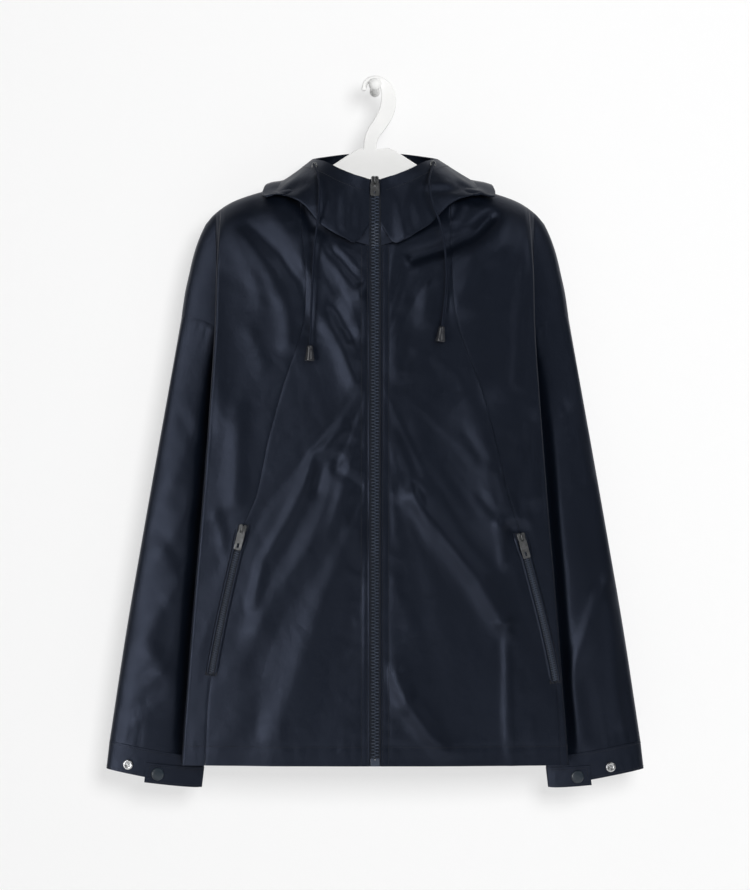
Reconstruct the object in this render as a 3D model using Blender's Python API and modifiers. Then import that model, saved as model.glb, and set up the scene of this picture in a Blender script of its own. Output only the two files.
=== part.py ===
"""Hooded nylon jacket, hung on a plain one-piece hanger from a wall peg.

Tables and sizes are in millimetres, finished meshes in metres.
X runs to the right as seen from the front, Y from the front to the wall, Z up.
The origin is the middle of the peg's face on the wall.
Pieces ending in _l are on the left as seen from the front.
"""

import math
from collections import namedtuple

import bmesh
import bpy
from mathutils import Matrix, Vector

MM = 0.001

# Driving sizes
CLOTH = 1.2
SEAM_GAP = 0.3
HANG_PLANE = -58.0
HEM_HEIGHT = -820.0
ZIP_EDGE = 7.0
ZIP_FLAT = 45.0
NECK_HALF_WIDTH = 91.0
FOLD_RADIUS = 4.5
SHOULDER_ROUNDING = 95.0
NECK_ROUNDNESS = 2.6
SIDE_REACH = 200.0
LIFT = 0.45

# Armhole: the outer end on the drop-shoulder seam, the armpit, and the corner at the sleeve fold
ARM_OUTER = 234.5
ARM_OUTER_HEIGHT = -281.0
ARMPIT = 136.0
ARMPIT_HEIGHT = -400.0
ARM_CURVE = 2.6
ARM_DEPTH = 15.0
ARM_DEPTH_POWER = 0.8
ARM_DEPTH_GROWTH = 0.9
CORNER_SHARE = 0.4375
ARM_SEAM_GAP = 0.7

# Columns and rows of the cloth grids
FRONT_COLUMNS = (6, 4)
BACK_COLUMNS = (4, 4)
WRAP_COLUMNS = 3
RETURN_COLUMNS = 2
CAP_COLUMNS = 3
ARMHOLE_ROWS = 5
FRONT_ROWS = (4, 6, 4)
BACK_ROWS = (3, 4, 3)
UPPER_ROWS = 7
SLEEVE_ROWS = 11
CUFF_ROWS = 2
HOOD_STEPS = 10
RING_POINTS = 2 * (CAP_COLUMNS + ARMHOLE_ROWS)

Face = namedtuple("Face", "sign edge depth_centre depth_side neck_depth inset neck folds rows columns")
Side = namedtuple("Side", "name sign seam pocket_top pocket_end hood_reach tab_end cap socket")

EdgeLevel = namedtuple("EdgeLevel", "height half_width")
FOLD_EDGE = (
    EdgeLevel(-820, 233.0),
    EdgeLevel(-713, 225.0),
    EdgeLevel(-613, 217.0),
    EdgeLevel(-509, 208.0),
    EdgeLevel(-400, 199.5),
    EdgeLevel(-294, 192.5),
    EdgeLevel(-216, 191.0),
    EdgeLevel(-155, 189.0),
)
SIDE_SEAM = (
    EdgeLevel(-820, 190.0),
    EdgeLevel(-712, 168.0),
    EdgeLevel(-550, 142.0),
    EdgeLevel(-400, 136.0),
)
CAP_EDGE = (
    EdgeLevel(-281, 234.5),
    EdgeLevel(-250, 230.5),
    EdgeLevel(-223, 227.0),
    EdgeLevel(-168, 225.0),
)

TopPoint = namedtuple("TopPoint", "half_width height")
SHOULDER = (
    TopPoint(91, -116.0),
    TopPoint(134, -128.0),
    TopPoint(160, -136.0),
    TopPoint(178, -144.0),
    TopPoint(195, -156.5),
    TopPoint(205, -168.0),
)
FRONT_NECK = (
    TopPoint(0, -200.0),
    TopPoint(34, -189.0),
    TopPoint(56, -175.0),
    TopPoint(73, -158.0),
    TopPoint(84, -138.0),
    TopPoint(91, -116.0),
)
BACK_NECK = (
    TopPoint(0, -131.0),
    TopPoint(45, -129.0),
    TopPoint(75, -123.0),
    TopPoint(91, -116.0),
)

# Where the columns past the panel seam reach the shoulder line
Spread = namedtuple("Spread", "column half_width")
SHOULDER_SPREAD = (Spread(1, 91), Spread(2, 183), Spread(3, 188), Spread(4, 192), Spread(5, 205))

SeamLevel = namedtuple("SeamLevel", "height left right")
PANEL_SEAM = (
    SeamLevel(-820, 204, 223),
    SeamLevel(-716, 197, 216),
    SeamLevel(-535, 158, 172),
    SeamLevel(-495, 142, 159),
    SeamLevel(-430, 128, 144),
    SeamLevel(-371, 112, 128),
    SeamLevel(-275, 84, 96),
    SeamLevel(-116, 91, 91),
)

# Folds: the run of each ridge (or trough, with a negative rise) as seen from the front
Fold = namedtuple("Fold", "x0 z0 x1 z1 width rise")
FRONT_FOLDS = (
    Fold(-155, -156, -89, -232, 15, 4.5),
    Fold(-166, -165, -92, -246, 8, -3.5),
    Fold(-168, -170, -109, -277, 10, 3.5),
    Fold(-186, -182, -140, -277, 9, 3.0),
    Fold(-70, -200, -18, -262, 14, 4.5),
    Fold(-58, -277, -30, -319, 10, 3.0),
    Fold(-30, -430, -95, -509, 13, 4.0),
    Fold(-95, -509, -144, -631, 13, 4.0),
    Fold(-32, -484, -116, -601, 11, 3.5),
    Fold(-20, -532, -95, -660, 13, 4.5),
    Fold(-95, -660, -142, -715, 14, 4.5),
    Fold(-142, -715, -149, -815, 17, 5.0),
    Fold(46, -213, 88, -199, 8, -5.0),
    Fold(88, -199, 136, -170, 8, -5.0),
    Fold(156, -158, 130, -203, 13, 4.0),
    Fold(130, -203, 102, -263, 14, 4.5),
    Fold(178, -225, 167, -308, 9, 3.0),
    Fold(167, -308, 156, -361, 10, 3.5),
    Fold(96, -434, 138, -481, 13, 4.0),
    Fold(138, -481, 145, -532, 12, 3.5),
    Fold(34, -492, 82, -559, 12, 4.0),
    Fold(82, -559, 143, -655, 14, 4.5),
    Fold(145, -520, 154, -625, 11, 4.0),
    Fold(154, -625, 162, -815, 13, 5.0),
    Fold(24, -708, 76, -796, 12, 3.5),
)
BACK_FOLDS = (
    Fold(-150, -160, -80, -260, 16, 3.0),
    Fold(146, -165, 92, -290, 16, 3.0),
    Fold(-120, -330, -60, -470, 18, 3.5),
    Fold(128, -360, 84, -520, 18, 3.5),
    Fold(-40, -440, -75, -640, 18, 4.0),
    Fold(30, -400, 62, -610, 18, 3.5),
    Fold(-130, -600, -142, -815, 18, 4.5),
    Fold(-28, -620, -20, -815, 20, 4.0),
    Fold(70, -640, 84, -815, 18, 4.5),
    Fold(150, -590, 168, -815, 16, 4.0),
)
SLEEVE_FOLDS = (
    Fold(-216, -420, -246, -478, 11, 2.5),
    Fold(-206, -492, -254, -560, 11, 3.0),
    Fold(-232, -600, -280, -672, 14, 3.0),
    Fold(-280, -672, -236, -736, 12, 2.5),
    Fold(-300, -776, -250, -742, 9, 2.5),
    Fold(236, -400, 258, -470, 10, 2.5),
    Fold(276, -606, 236, -718, 13, 3.0),
    Fold(236, -718, 248, -798, 12, 2.5),
    Fold(284, -624, 294, -770, 9, 2.0),
)

FRONT = Face(-1, ZIP_EDGE, 44.0, 34.0, 43.0, 0.0, FRONT_NECK, FRONT_FOLDS, FRONT_ROWS, FRONT_COLUMNS)
BACK = Face(1, 0.0, 28.0, 29.0, 27.0, 8.0, BACK_NECK, BACK_FOLDS, BACK_ROWS, BACK_COLUMNS)
SIDES = (
    Side("l", -1, "left", -531.0, -712.0, 1.0, 3.55, 4.2, 2.53),
    Side("r", 1, "right", -541.0, -721.0, 1.08, 4.3, 5.0, 3.2),
)
CENTRE_COLUMNS = FRONT_COLUMNS[0]

# Sleeve rings: the ends of each ring seen from the front, and its reach to the front and back
SleeveRing = namedtuple("SleeveRing", "station outer outer_height inner inner_height front back")
SLEEVE_RINGS = (
    SleeveRing(0.00, 236.5, -290.0, 138.0, -404.0, 15.0, 14.0),
    SleeveRing(0.10, 243.0, -328.0, 147.0, -430.0, 12.0, 10.0),
    SleeveRing(0.25, 257.5, -410.0, 156.0, -482.0, 15.0, 12.0),
    SleeveRing(0.50, 280.0, -537.0, 168.0, -582.0, 17.0, 14.0),
    SleeveRing(0.75, 301.5, -662.0, 186.0, -694.0, 18.0, 14.0),
    SleeveRing(1.00, 321.5, -793.0, 206.0, -815.0, 16.0, 13.0),
)
CUFF_TOP = SleeveRing(0, 321.6, -793.4, 206.1, -815.4, 16.0, 13.0)
CUFF_BOTTOM = SleeveRing(1, 325.5, -827.0, 210.0, -850.0, 14.0, 11.0)
RING_TAPER = 0.45
RING_ROUNDNESS = 0.8
SLEEVE_FOLD_FADE = 0.3
ARMHOLE_SETTLE = (1.0, 0.6, 0.25)
TAB_FOOT = 7.6
TAB_TOP_SHARE = 0.28
TAB_BOTTOM_SHARE = 0.98
TAB_TILT = 0.20
CAP_SHARE = 0.80
SOCKET_SHARE = 0.68

# Hood: from the neck seam to the fold it hangs over to the free rim, by place round the neck.
# Place 0 is the zip, 1 the shoulder, 2 the middle of the back.
HoodPlace = namedtuple("HoodPlace", "place fold_x fold_y fold_z rim_x rim_y rim_z puff stand")
HOOD_PLACES = (
    HoodPlace(0.00, 7, -109, -160, 7, -107, -118, 0.0, 8.0),
    HoodPlace(0.16, 22, -110, -170, 16, -106, -115, 0.5, 8.0),
    HoodPlace(0.32, 39, -112, -168, 25, -103, -112, 1.5, 8.0),
    HoodPlace(0.58, 68, -111, -161, 43, -96, -104, 3.0, 10.0),
    HoodPlace(0.79, 91, -102, -138, 59, -85, -95, 2.5, 13.0),
    HoodPlace(0.90, 114, -86, -130, 70, -72, -91, 2.2, 13.0),
    HoodPlace(1.00, 134, -60, -122, 76, -57, -89, 1.8, 4.5),
    HoodPlace(1.20, 129, -24, -158, 62, -34, -84, 5.0, 4.0),
    HoodPlace(1.55, 86, -9, -240, 32, -22, -79, 6.0, 4.0),
    HoodPlace(2.00, 0.0, -8, -280, 0.0, -19, -78, 6.0, 4.0),
)
HOOD_LIFT = 0.9
STAND_LEAN = 0.35
LEAN_SPREAD = 0.25
WING_PLACE = 0.95
WING_SPREAD = 0.3
WING_STEPS = (0.33, 0.5, 0.67)
NAPE_STEP = 0.4
RISE_SHARE = 0.6
UNDER_SHARE = 0.9
UNDER_PUFF = 0.3
OVER_SHARE = 0.85
RIM_SHARE = 0.5
RIM_PUFF = 0.8

# Zips
TAPE = 0.9
TAPE_HALF_WIDTH = 11.5
CHAIN_HALF_WIDTH = 3.4
CHAIN_RISE = 1.1
POCKET_TAPE_HALF_WIDTH = 6.5
POCKET_CHAIN_HALF_WIDTH = 2.5
SLIDER_HALF_WIDTH = 4.6
SLIDER_TOP = 6.5
SLIDER_BOTTOM = -7.0
SLIDER_THICKNESS = 3.4
SLIDER_FOOT_SHARE = 0.72
SLIDER_WAIST_SHARE = 0.92
SLIDER_CLEARANCE = 1.0
LOBE_STEPS = 6
MAIN_SLIDER_DROP = 3.2
MAIN_SLIDER_SINK = 1.0
TAPE_MEET = 0.4
ARCH_RADIUS = 0.8
ArchPoint = namedtuple("ArchPoint", "rise height")
ARCH_LINE = (ArchPoint(2.04, 5.6), ArchPoint(5.1, 5.4), ArchPoint(6.7, 3.9), ArchPoint(6.7, -0.4),
             ArchPoint(5.1, -2.0), ArchPoint(2.04, -2.4))
HINGE_RISE = 4.8
HINGE_HEIGHT = 2.0
PULL_THICKNESS = 1.2
PULL_CORNER = 1.6
PULL_NECK_HALF_WIDTH = 2.9
PULL_SHOULDER = 5.0
EYE_HALF_WIDTH = 1.9
EYE_FOOT = 5.6
SLOT_HALF_WIDTH = 1.3
SLOT_EDGE = 2.4
SLOT_SHARE = 0.30
PullSize = namedtuple("PullSize", "width length")
MAIN_PULL = PullSize(10.6, 20.0)
POCKET_PULL = PullSize(9.0, 27.0)

# Drawcords: where each eyelet is seen from the front, and the cord's route from it to its end
CORD_RADIUS = 1.5
CORD_RISE = 3.4
Seen = namedtuple("Seen", "x z")
EYELETS = {"l": Seen(-73.0, -95.5), "r": Seen(69.6, -97.0)}
UPPER_LAYER = 0.6
RIM_MARGIN = 0.5
SPOT_STEPS = 8
CordPoint = namedtuple("CordPoint", "x y z")
CORD_ROUTES = {
    "l": (
        CordPoint(-69, -101, -110),
        CordPoint(-66.5, -112, -124),
        CordPoint(-66, -118, -138),
        CordPoint(-67, -118, -154),
        CordPoint(-69, -115, -174),
        CordPoint(-72, -111.5, -196),
        CordPoint(-74, -109.5, -225),
        CordPoint(-75.5, -108.5, -262),
        CordPoint(-77, -108.2, -296),
        CordPoint(-77.6, -108.2, -317),
    ),
    "r": (
        CordPoint(66.5, -103, -110),
        CordPoint(64.5, -112, -121),
        CordPoint(65.5, -118, -134),
        CordPoint(70, -118, -152),
        CordPoint(77, -115, -170),
        CordPoint(82, -111.5, -191),
        CordPoint(84.5, -109.5, -216),
        CordPoint(85, -108.5, -242),
        CordPoint(82.5, -108.2, -270),
        CordPoint(79.8, -108.2, -294),
    ),
}
CORD_END_LENGTH = 18.5
CORD_STEP = 8.0

# Hanger and peg
HANGER_HALF_THICKNESS = 3.5
HANGER_DROP = CLOTH + 2.2
PEG_LENGTH = 78.0
STEM_RADIUS = 3.0
KNOB_RADIUS = 7.8
PEG_STEPS = 16
SNAP_STEPS = 16
TURN_STEPS = 12

Finish = namedtuple("Finish", "colour roughness metallic")
FINISHES = {
    "nylon": Finish((0.0115, 0.0145, 0.0245), 0.45, 0.0),
    "zip_tape": Finish((0.010, 0.013, 0.021), 0.80, 0.0),
    "zip_teeth": Finish((0.045, 0.055, 0.075), 0.35, 0.0),
    "gunmetal": Finish((0.090, 0.095, 0.095), 0.38, 0.9),
    "snap_cap": Finish((0.014, 0.019, 0.027), 0.35, 0.0),
    "snap_metal": Finish((0.62, 0.63, 0.64), 0.28, 1.0),
    "cord": Finish((0.018, 0.022, 0.030), 0.85, 0.0),
    "cord_end": Finish((0.022, 0.023, 0.027), 0.50, 0.0),
    "white_plastic": Finish((0.86, 0.86, 0.85), 0.40, 0.0),
}


def clamp(value):
    """Keeps a share between 0 and 1."""
    return max(0.0, min(1.0, value))


def mix(a, b, share):
    """Goes from a to b by a share."""
    return a + (b - a) * share


def along(rows, place, column):
    """Reads a column of a table at a place between its rows, on a smooth curve."""
    keys = [row[0] for row in rows]
    values = [getattr(row, column) for row in rows]
    place = max(keys[0], min(keys[-1], place))
    i = 0
    while i < len(keys) - 2 and place > keys[i + 1]:
        i += 1
    slopes = []
    for k in (i, i + 1):
        before = max(k - 1, 0)
        after = min(k + 1, len(keys) - 1)
        slopes.append((values[after] - values[before]) / (keys[after] - keys[before]))
    span = keys[i + 1] - keys[i]
    t = (place - keys[i]) / span
    rest = 1.0 - t
    return (values[i] * (1 + 2 * t) * rest ** 2 + values[i + 1] * (3 - 2 * t) * t ** 2
            + span * (slopes[0] * t * rest ** 2 - slopes[1] * rest * t ** 2))


def between(rows, place, column):
    """Reads a column of a table at a place between its rows, on straight runs."""
    for low, high in zip(rows, rows[1:]):
        if place <= high[0]:
            share = clamp((place - low[0]) / (high[0] - low[0]))
            return mix(getattr(low, column), getattr(high, column), share)
    return getattr(rows[-1], column)


def relief(folds, x, z):
    """Sums the folds' rise at a place seen from the front."""
    total = 0.0
    for fold in folds:
        run_x = fold.x1 - fold.x0
        run_z = fold.z1 - fold.z0
        share = clamp(((x - fold.x0) * run_x + (z - fold.z0) * run_z) / (run_x ** 2 + run_z ** 2))
        gap_x = x - fold.x0 - share * run_x
        gap_z = z - fold.z0 - share * run_z
        total += fold.rise * math.exp(-(gap_x ** 2 + gap_z ** 2) / fold.width ** 2)
    return total


# Body: fronts and back

def armhole(share):
    """Gives half width, depth and height on the armhole, from the drop seam (0) to the armpit (1)."""
    half_width = mix(ARM_OUTER, ARMPIT, share)
    power = ARM_DEPTH_POWER + ARM_DEPTH_GROWTH * share ** 2
    depth = ARM_DEPTH * (2.0 * math.sqrt(share * (1.0 - share))) ** power
    height = mix(ARM_OUTER_HEIGHT, ARMPIT_HEIGHT, share ** ARM_CURVE)
    return half_width, depth, height


CORNER_HALF_WIDTH, CORNER_DEPTH, CORNER_HEIGHT = armhole(CORNER_SHARE)


def armhole_share(height):
    """Finds the share of the armhole that lies at a height."""
    drop = (height - ARM_OUTER_HEIGHT) / (ARMPIT_HEIGHT - ARM_OUTER_HEIGHT)
    return clamp(drop) ** (1.0 / ARM_CURVE)


def top_half_width(face, column):
    """Gives the half width at which a column of cloth ends, on the neckline or the shoulder."""
    if column <= 1.0:
        return mix(face.edge, NECK_HALF_WIDTH, column)
    return between(SHOULDER_SPREAD, column, "half_width")


def column_top(face, column):
    """Gives the height at which a column of cloth ends, on the neckline or the shoulder."""
    rows = face.neck if column <= 1.0 else SHOULDER
    return along(rows, top_half_width(face, column), "height")


def column_foot(column):
    """Gives the height at which the upper rows of a column start."""
    if column <= 4.0:
        return CORNER_HEIGHT
    return armhole(CORNER_SHARE * (5.0 - column))[2]


def face_depth(face, column, half_width, height, side):
    """Gives the cloth's distance from the hanger's plane on the open face of the body."""
    top = column_top(face, column)
    start = SEAM_GAP
    if column < 1.0:
        start = max(SEAM_GAP, face.neck_depth * math.sqrt(1.0 - column ** NECK_ROUNDNESS))
    full = mix(face.depth_centre, face.depth_side, (half_width / SIDE_REACH) ** 2)
    rounded = shoulder_round(top - height)
    flat_zip = clamp((half_width - ZIP_EDGE) / ZIP_FLAT) if face is FRONT else 1.0
    folds = relief(face.folds, side.sign * half_width, height)
    return mix(start, full, rounded) + rounded * flat_zip * folds


def shoulder_round(drop):
    """Gives the share of its full depth that cloth has at a drop below its top edge."""
    share = clamp(drop / SHOULDER_ROUNDING)
    return math.sqrt(1.0 - (1.0 - share) ** 2)


def body_point(face, side, column, height, rise):
    """Gives a point of the body cloth.

    Columns: 0 to 1 centre panel, to 2 side panel, to 3 round the fold edge,
    to 4 back in behind it, to 5 out over the dropped shoulder.
    Rise is 0 up to the armhole's corner and then runs to 1 at the shoulder.
    """
    if rise > 0.0:
        height = mix(column_foot(column), column_top(face, column), rise)
    seam = along(PANEL_SEAM, height, side.seam if face is FRONT else "left")
    edge = along(FOLD_EDGE, height, "half_width") - face.inset - FOLD_RADIUS
    if column > 2.0:
        half_width, depth = folded_point(face, side, column, height, rise, edge)
    else:
        half_width = mix(face.edge, seam, column) if column <= 1.0 else mix(seam, edge, column - 1.0)
        half_width = mix(half_width, top_half_width(face, column), rise ** 3)
        depth = face_depth(face, column, half_width, height, side)
    return Vector((side.sign * half_width, HANG_PLANE + face.sign * depth, height))


def folded_point(face, side, column, height, rise, edge):
    """Gives half width and depth past the fold edge, where the cloth turns in to the sleeve."""
    start = face_depth(face, 2.0, edge, height, side)
    rounded = shoulder_round(column_top(face, column) - height)
    if rise > 0.0:
        inner = (CORNER_HALF_WIDTH, CORNER_DEPTH * rounded)
    elif height > ARMPIT_HEIGHT:
        inner = armhole(armhole_share(height))[:2]
    else:
        inner = (along(SIDE_SEAM, height, "half_width"), 0.0)
    turned = (edge, start - 2.0 * FOLD_RADIUS)
    if column <= 3.0:
        angle = math.pi * (column - 2.0)
        folded = (edge + FOLD_RADIUS * math.sin(angle), start - FOLD_RADIUS * (1.0 - math.cos(angle)))
    elif column <= 4.0:
        folded = tuple(mix(a, b, column - 3.0) for a, b in zip(turned, inner))
    else:
        outer = along(CAP_EDGE, height, "half_width")
        folded = (mix(inner[0], outer, column - 4.0), rounded * armhole(CORNER_SHARE * (5.0 - column))[1])
    out = (column - 2.0) / 3.0
    flat = (top_half_width(face, column), face.depth_side * rounded * math.sqrt(1.0 - out ** 2))
    fade = 1.0 - rise ** 3
    return mix(flat[0], folded[0], fade), SEAM_GAP + mix(flat[1], folded[1], fade)


def body_columns(face):
    """Lists the columns of half the body, from the centre out."""
    counts = face.columns + (WRAP_COLUMNS, RETURN_COLUMNS, CAP_COLUMNS)
    columns = [0.0]
    for part, count in enumerate(counts):
        columns += [part + (k + 1) / count for k in range(count)]
    return columns


def body_levels(face, side):
    """Lists the rows of half the body from the hem up, as pairs of height and rise."""
    stops = (HEM_HEIGHT, side.pocket_end, side.pocket_top, ARMPIT_HEIGHT)
    levels = [(HEM_HEIGHT, 0.0)]
    for low, high, count in zip(stops, stops[1:], face.rows):
        levels += [(mix(low, high, (k + 1) / count), 0.0) for k in range(count)]
    shares = [mix(1.0, CORNER_SHARE, (k + 1) / ARMHOLE_ROWS) for k in range(ARMHOLE_ROWS)]
    levels += [(armhole(share)[2], 0.0) for share in shares]
    levels += [(0.0, 1.0 - (1.0 - (k + 1) / UPPER_ROWS) ** 2) for k in range(UPPER_ROWS)]
    return levels


def body_grid(face, side):
    """Makes half a body face as rows of points, empty where the sleeve takes over."""
    levels = body_levels(face, side)
    corner_row = len(levels) - 1 - UPPER_ROWS
    grid = []
    for row, (height, rise) in enumerate(levels):
        points = []
        for column in body_columns(face):
            if column <= 4.0:
                points.append(body_point(face, side, column, height, rise))
            elif row > corner_row:
                points.append(body_point(face, side, column, height, rise))
            elif row == corner_row:
                half_width, depth, foot = armhole(CORNER_SHARE * (5.0 - column))
                points.append(Vector((side.sign * half_width,
                                      HANG_PLANE + face.sign * (SEAM_GAP + depth), foot)))
            else:
                points.append(None)
        grid.append(points)
    return grid


# Cloth walls

def quads_of(grid, closed):
    """Lists the cells of a grid whose four corners all exist."""
    width = len(grid[0])
    quads = []
    for row in range(len(grid) - 1):
        for column in range(width if closed else width - 1):
            after = (column + 1) % width
            corners = ((row, column), (row, after), (row + 1, after), (row + 1, column))
            if all(grid[r][c] is not None for r, c in corners):
                quads.append(corners)
    return quads


def halves_of(grid, ring):
    """Splits a cell along its shorter diagonal, the same on both faces of a wall."""
    a, b, c, d = ring
    points = [grid[row][column] for row, column in ring]
    if (points[0] - points[2]).length <= (points[1] - points[3]).length:
        return (a, b, c), (a, c, d)
    return (a, b, d), (b, c, d)


def normals_of(grid, flip, closed=False):
    """Averages the cells' directions at each point of a grid."""
    normals = [[Vector() for _ in row] for row in grid]
    for corners in quads_of(grid, closed):
        a, b, c, d = (grid[r][k] for r, k in corners)
        direction = (c - a).cross(d - b).normalized()
        for r, k in corners:
            normals[r][k] += direction
    sign = -1.0 if flip else 1.0
    return [[(sign * n).normalized() for n in row] for row in normals]


def wall(name, grid, normals, finish, flip, closed=False, lift=0.0, thickness=CLOTH):
    """Makes a closed wall of cloth from a grid of points on its outer face."""
    mesh = bmesh.new()
    outer = {}
    inner = {}
    for r, row in enumerate(grid):
        for c, point in enumerate(row):
            if point is not None:
                outer[r, c] = mesh.verts.new((point + normals[r][c] * lift) * MM)
                inner[r, c] = mesh.verts.new((point + normals[r][c] * (lift - thickness)) * MM)
    edges = set()
    for corners in quads_of(grid, closed):
        ring = corners[::-1] if flip else corners
        for triangle in halves_of(grid, ring):
            mesh.faces.new([outer[k] for k in triangle])
            mesh.faces.new([inner[k] for k in triangle[::-1]])
        edges |= {(a, b) for a, b in zip(ring, ring[1:] + ring[:1])}
    for a, b in edges:
        if (b, a) not in edges:
            mesh.faces.new((outer[b], outer[a], inner[a], inner[b]))
    loose = [vert for vert in mesh.verts if not vert.link_faces]
    bmesh.ops.delete(mesh, geom=loose, context="VERTS")
    return add_piece(name, mesh_from(mesh, name), finish)


def cut_columns(grid, normals, first, last, start_gap=0.0, end_gap=0.0):
    """Takes some columns of a grid, with its first and last drawn in from the seams."""
    cut = []
    for row in grid:
        points = list(row[first:last + 1])
        if start_gap and points[0] is not None:
            points[0] = points[0] + (points[1] - points[0]).normalized() * start_gap
        if end_gap and points[-1] is not None:
            points[-1] = points[-1] + (points[-2] - points[-1]).normalized() * end_gap
        cut.append(points)
    return cut, [row[first:last + 1] for row in normals]


def square_shoulder(normals, face):
    """Turns the shoulder edge's directions up, so that front and back don't meet there."""
    for row in range(len(normals) - 1 - UPPER_ROWS, len(normals)):
        last = len(normals[row]) - 1
        first = face.columns[0] if row == len(normals) - 1 else last
        for column in range(first, last + 1):
            normal = normals[row][column]
            normals[row][column] = Vector((normal.x, 0.0, normal.z)).normalized()


def mirror_join(left, right):
    """Joins two half grids at the centre line into one that runs from left to right."""
    return [row_l[:0:-1] + row_r for row_l, row_r in zip(left, right)]


def build_fronts():
    """Makes the centre and side fronts and keeps their grids for what lies on them."""
    fronts = {}
    for side in SIDES:
        flip = side.sign < 0
        grid = body_grid(FRONT, side)
        normals = normals_of(grid, flip)
        square_shoulder(normals, FRONT)
        last = len(grid[0]) - 1
        half_gap = SEAM_GAP / 2.0
        centre, centre_normals = cut_columns(grid, normals, 0, CENTRE_COLUMNS, 0.0, half_gap)
        sides, side_normals = cut_columns(grid, normals, CENTRE_COLUMNS, last, half_gap, 0.0)
        wall("front_centre_" + side.name, centre, centre_normals, "nylon", flip)
        wall("front_side_" + side.name, sides, side_normals, "nylon", flip)
        fronts[side.name] = (grid, normals)
    return fronts


def build_back():
    """Makes the back in one piece and keeps its half grids."""
    halves = {side.name: body_grid(BACK, side) for side in SIDES}
    whole = mirror_join(halves["l"], halves["r"])
    normals = normals_of(whole, True)
    middle = len(halves["l"][0]) - 1
    right_normals = [row[middle:] for row in normals]
    left_normals = [row[middle::-1] for row in normals]
    square_shoulder(right_normals, BACK)
    square_shoulder(left_normals, BACK)
    wall("back", whole, mirror_join(left_normals, right_normals), "nylon", True)
    return halves


# Sleeves and cuffs

def ring_point(ring, side, angle):
    """Gives a point on a sleeve ring; angle 0 is the outer end, a half turn the inner end."""
    share = (1.0 - math.cos(angle)) / 2.0
    half_width = mix(ring.outer, ring.inner, share)
    height = mix(ring.outer_height, ring.inner_height, share)
    reach = ring.front if math.sin(angle) >= 0.0 else ring.back
    depth = reach * math.copysign(abs(math.sin(angle)) ** RING_ROUNDNESS, math.sin(angle))
    depth *= 1.0 - RING_TAPER * share ** 2
    return Vector((side.sign * half_width, HANG_PLANE - depth, height))


def sleeve_ring(station):
    """Reads the sleeve's table at a station between its rings."""
    values = [along(SLEEVE_RINGS, station, field) for field in SleeveRing._fields[1:]]
    return SleeveRing(station, *values)


def armhole_edge(grid):
    """Lists a body face's armhole points, from the drop seam's outer end to the armpit."""
    corner_row = len(grid) - 1 - UPPER_ROWS
    corner = len(grid[0]) - 1 - CAP_COLUMNS
    cap = [grid[corner_row][corner + CAP_COLUMNS - k] for k in range(CAP_COLUMNS)]
    return cap + [grid[corner_row - k][corner] for k in range(ARMHOLE_ROWS + 1)]


def sleeve_grid(side, front, back):
    """Makes the sleeve's rows of points from the armhole down."""
    front_edge = armhole_edge(front)
    back_edge = armhole_edge(back)
    seam = front_edge + back_edge[-2:0:-1]
    seam[0] = (front_edge[0] + back_edge[0]) / 2.0
    half = RING_POINTS // 2
    seam[half] = (front_edge[-1] + back_edge[-1]) / 2.0
    grid = []
    for row in range(SLEEVE_ROWS + 1):
        ring = sleeve_ring(row / SLEEVE_ROWS)
        points = []
        for k in range(RING_POINTS):
            point = ring_point(ring, side, 2.0 * math.pi * k / RING_POINTS)
            face = 1.0 if k <= half else -1.0
            along_sleeve = clamp(math.sin(math.pi * row / SLEEVE_ROWS)) ** SLEEVE_FOLD_FADE
            swell = along_sleeve * abs(math.sin(2.0 * math.pi * k / RING_POINTS))
            point.y -= face * swell * relief(SLEEVE_FOLDS, face * point.x, point.z)
            points.append(point)
        grid.append(points)
    first = list(grid[0])
    for row, share in enumerate(ARMHOLE_SETTLE):
        grid[row] = [point + (edge - start) * share for point, edge, start in zip(grid[row], seam, first)]
    grid[0] = [point + (below - point).normalized() * ARM_SEAM_GAP for point, below in zip(grid[0], grid[1])]
    return grid


def cuff_grid(side):
    """Makes the cuff band's rows of points from its seam to its open edge."""
    grid = []
    for row in range(CUFF_ROWS + 1):
        ring = SleeveRing(*(mix(a, b, row / CUFF_ROWS) for a, b in zip(CUFF_TOP, CUFF_BOTTOM)))
        grid.append([ring_point(ring, side, 2.0 * math.pi * k / RING_POINTS) for k in range(RING_POINTS)])
    return grid


def on_grid(grid, row, column):
    """Finds a point on a grid's own cells, between its rows and columns."""
    r = min(int(row), len(grid) - 2)
    c = min(int(column), len(grid[0]) - 2)
    low = mix(grid[r][c], grid[r][c + 1], column - c)
    high = mix(grid[r + 1][c], grid[r + 1][c + 1], column - c)
    return mix(low, high, row - r)


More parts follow.
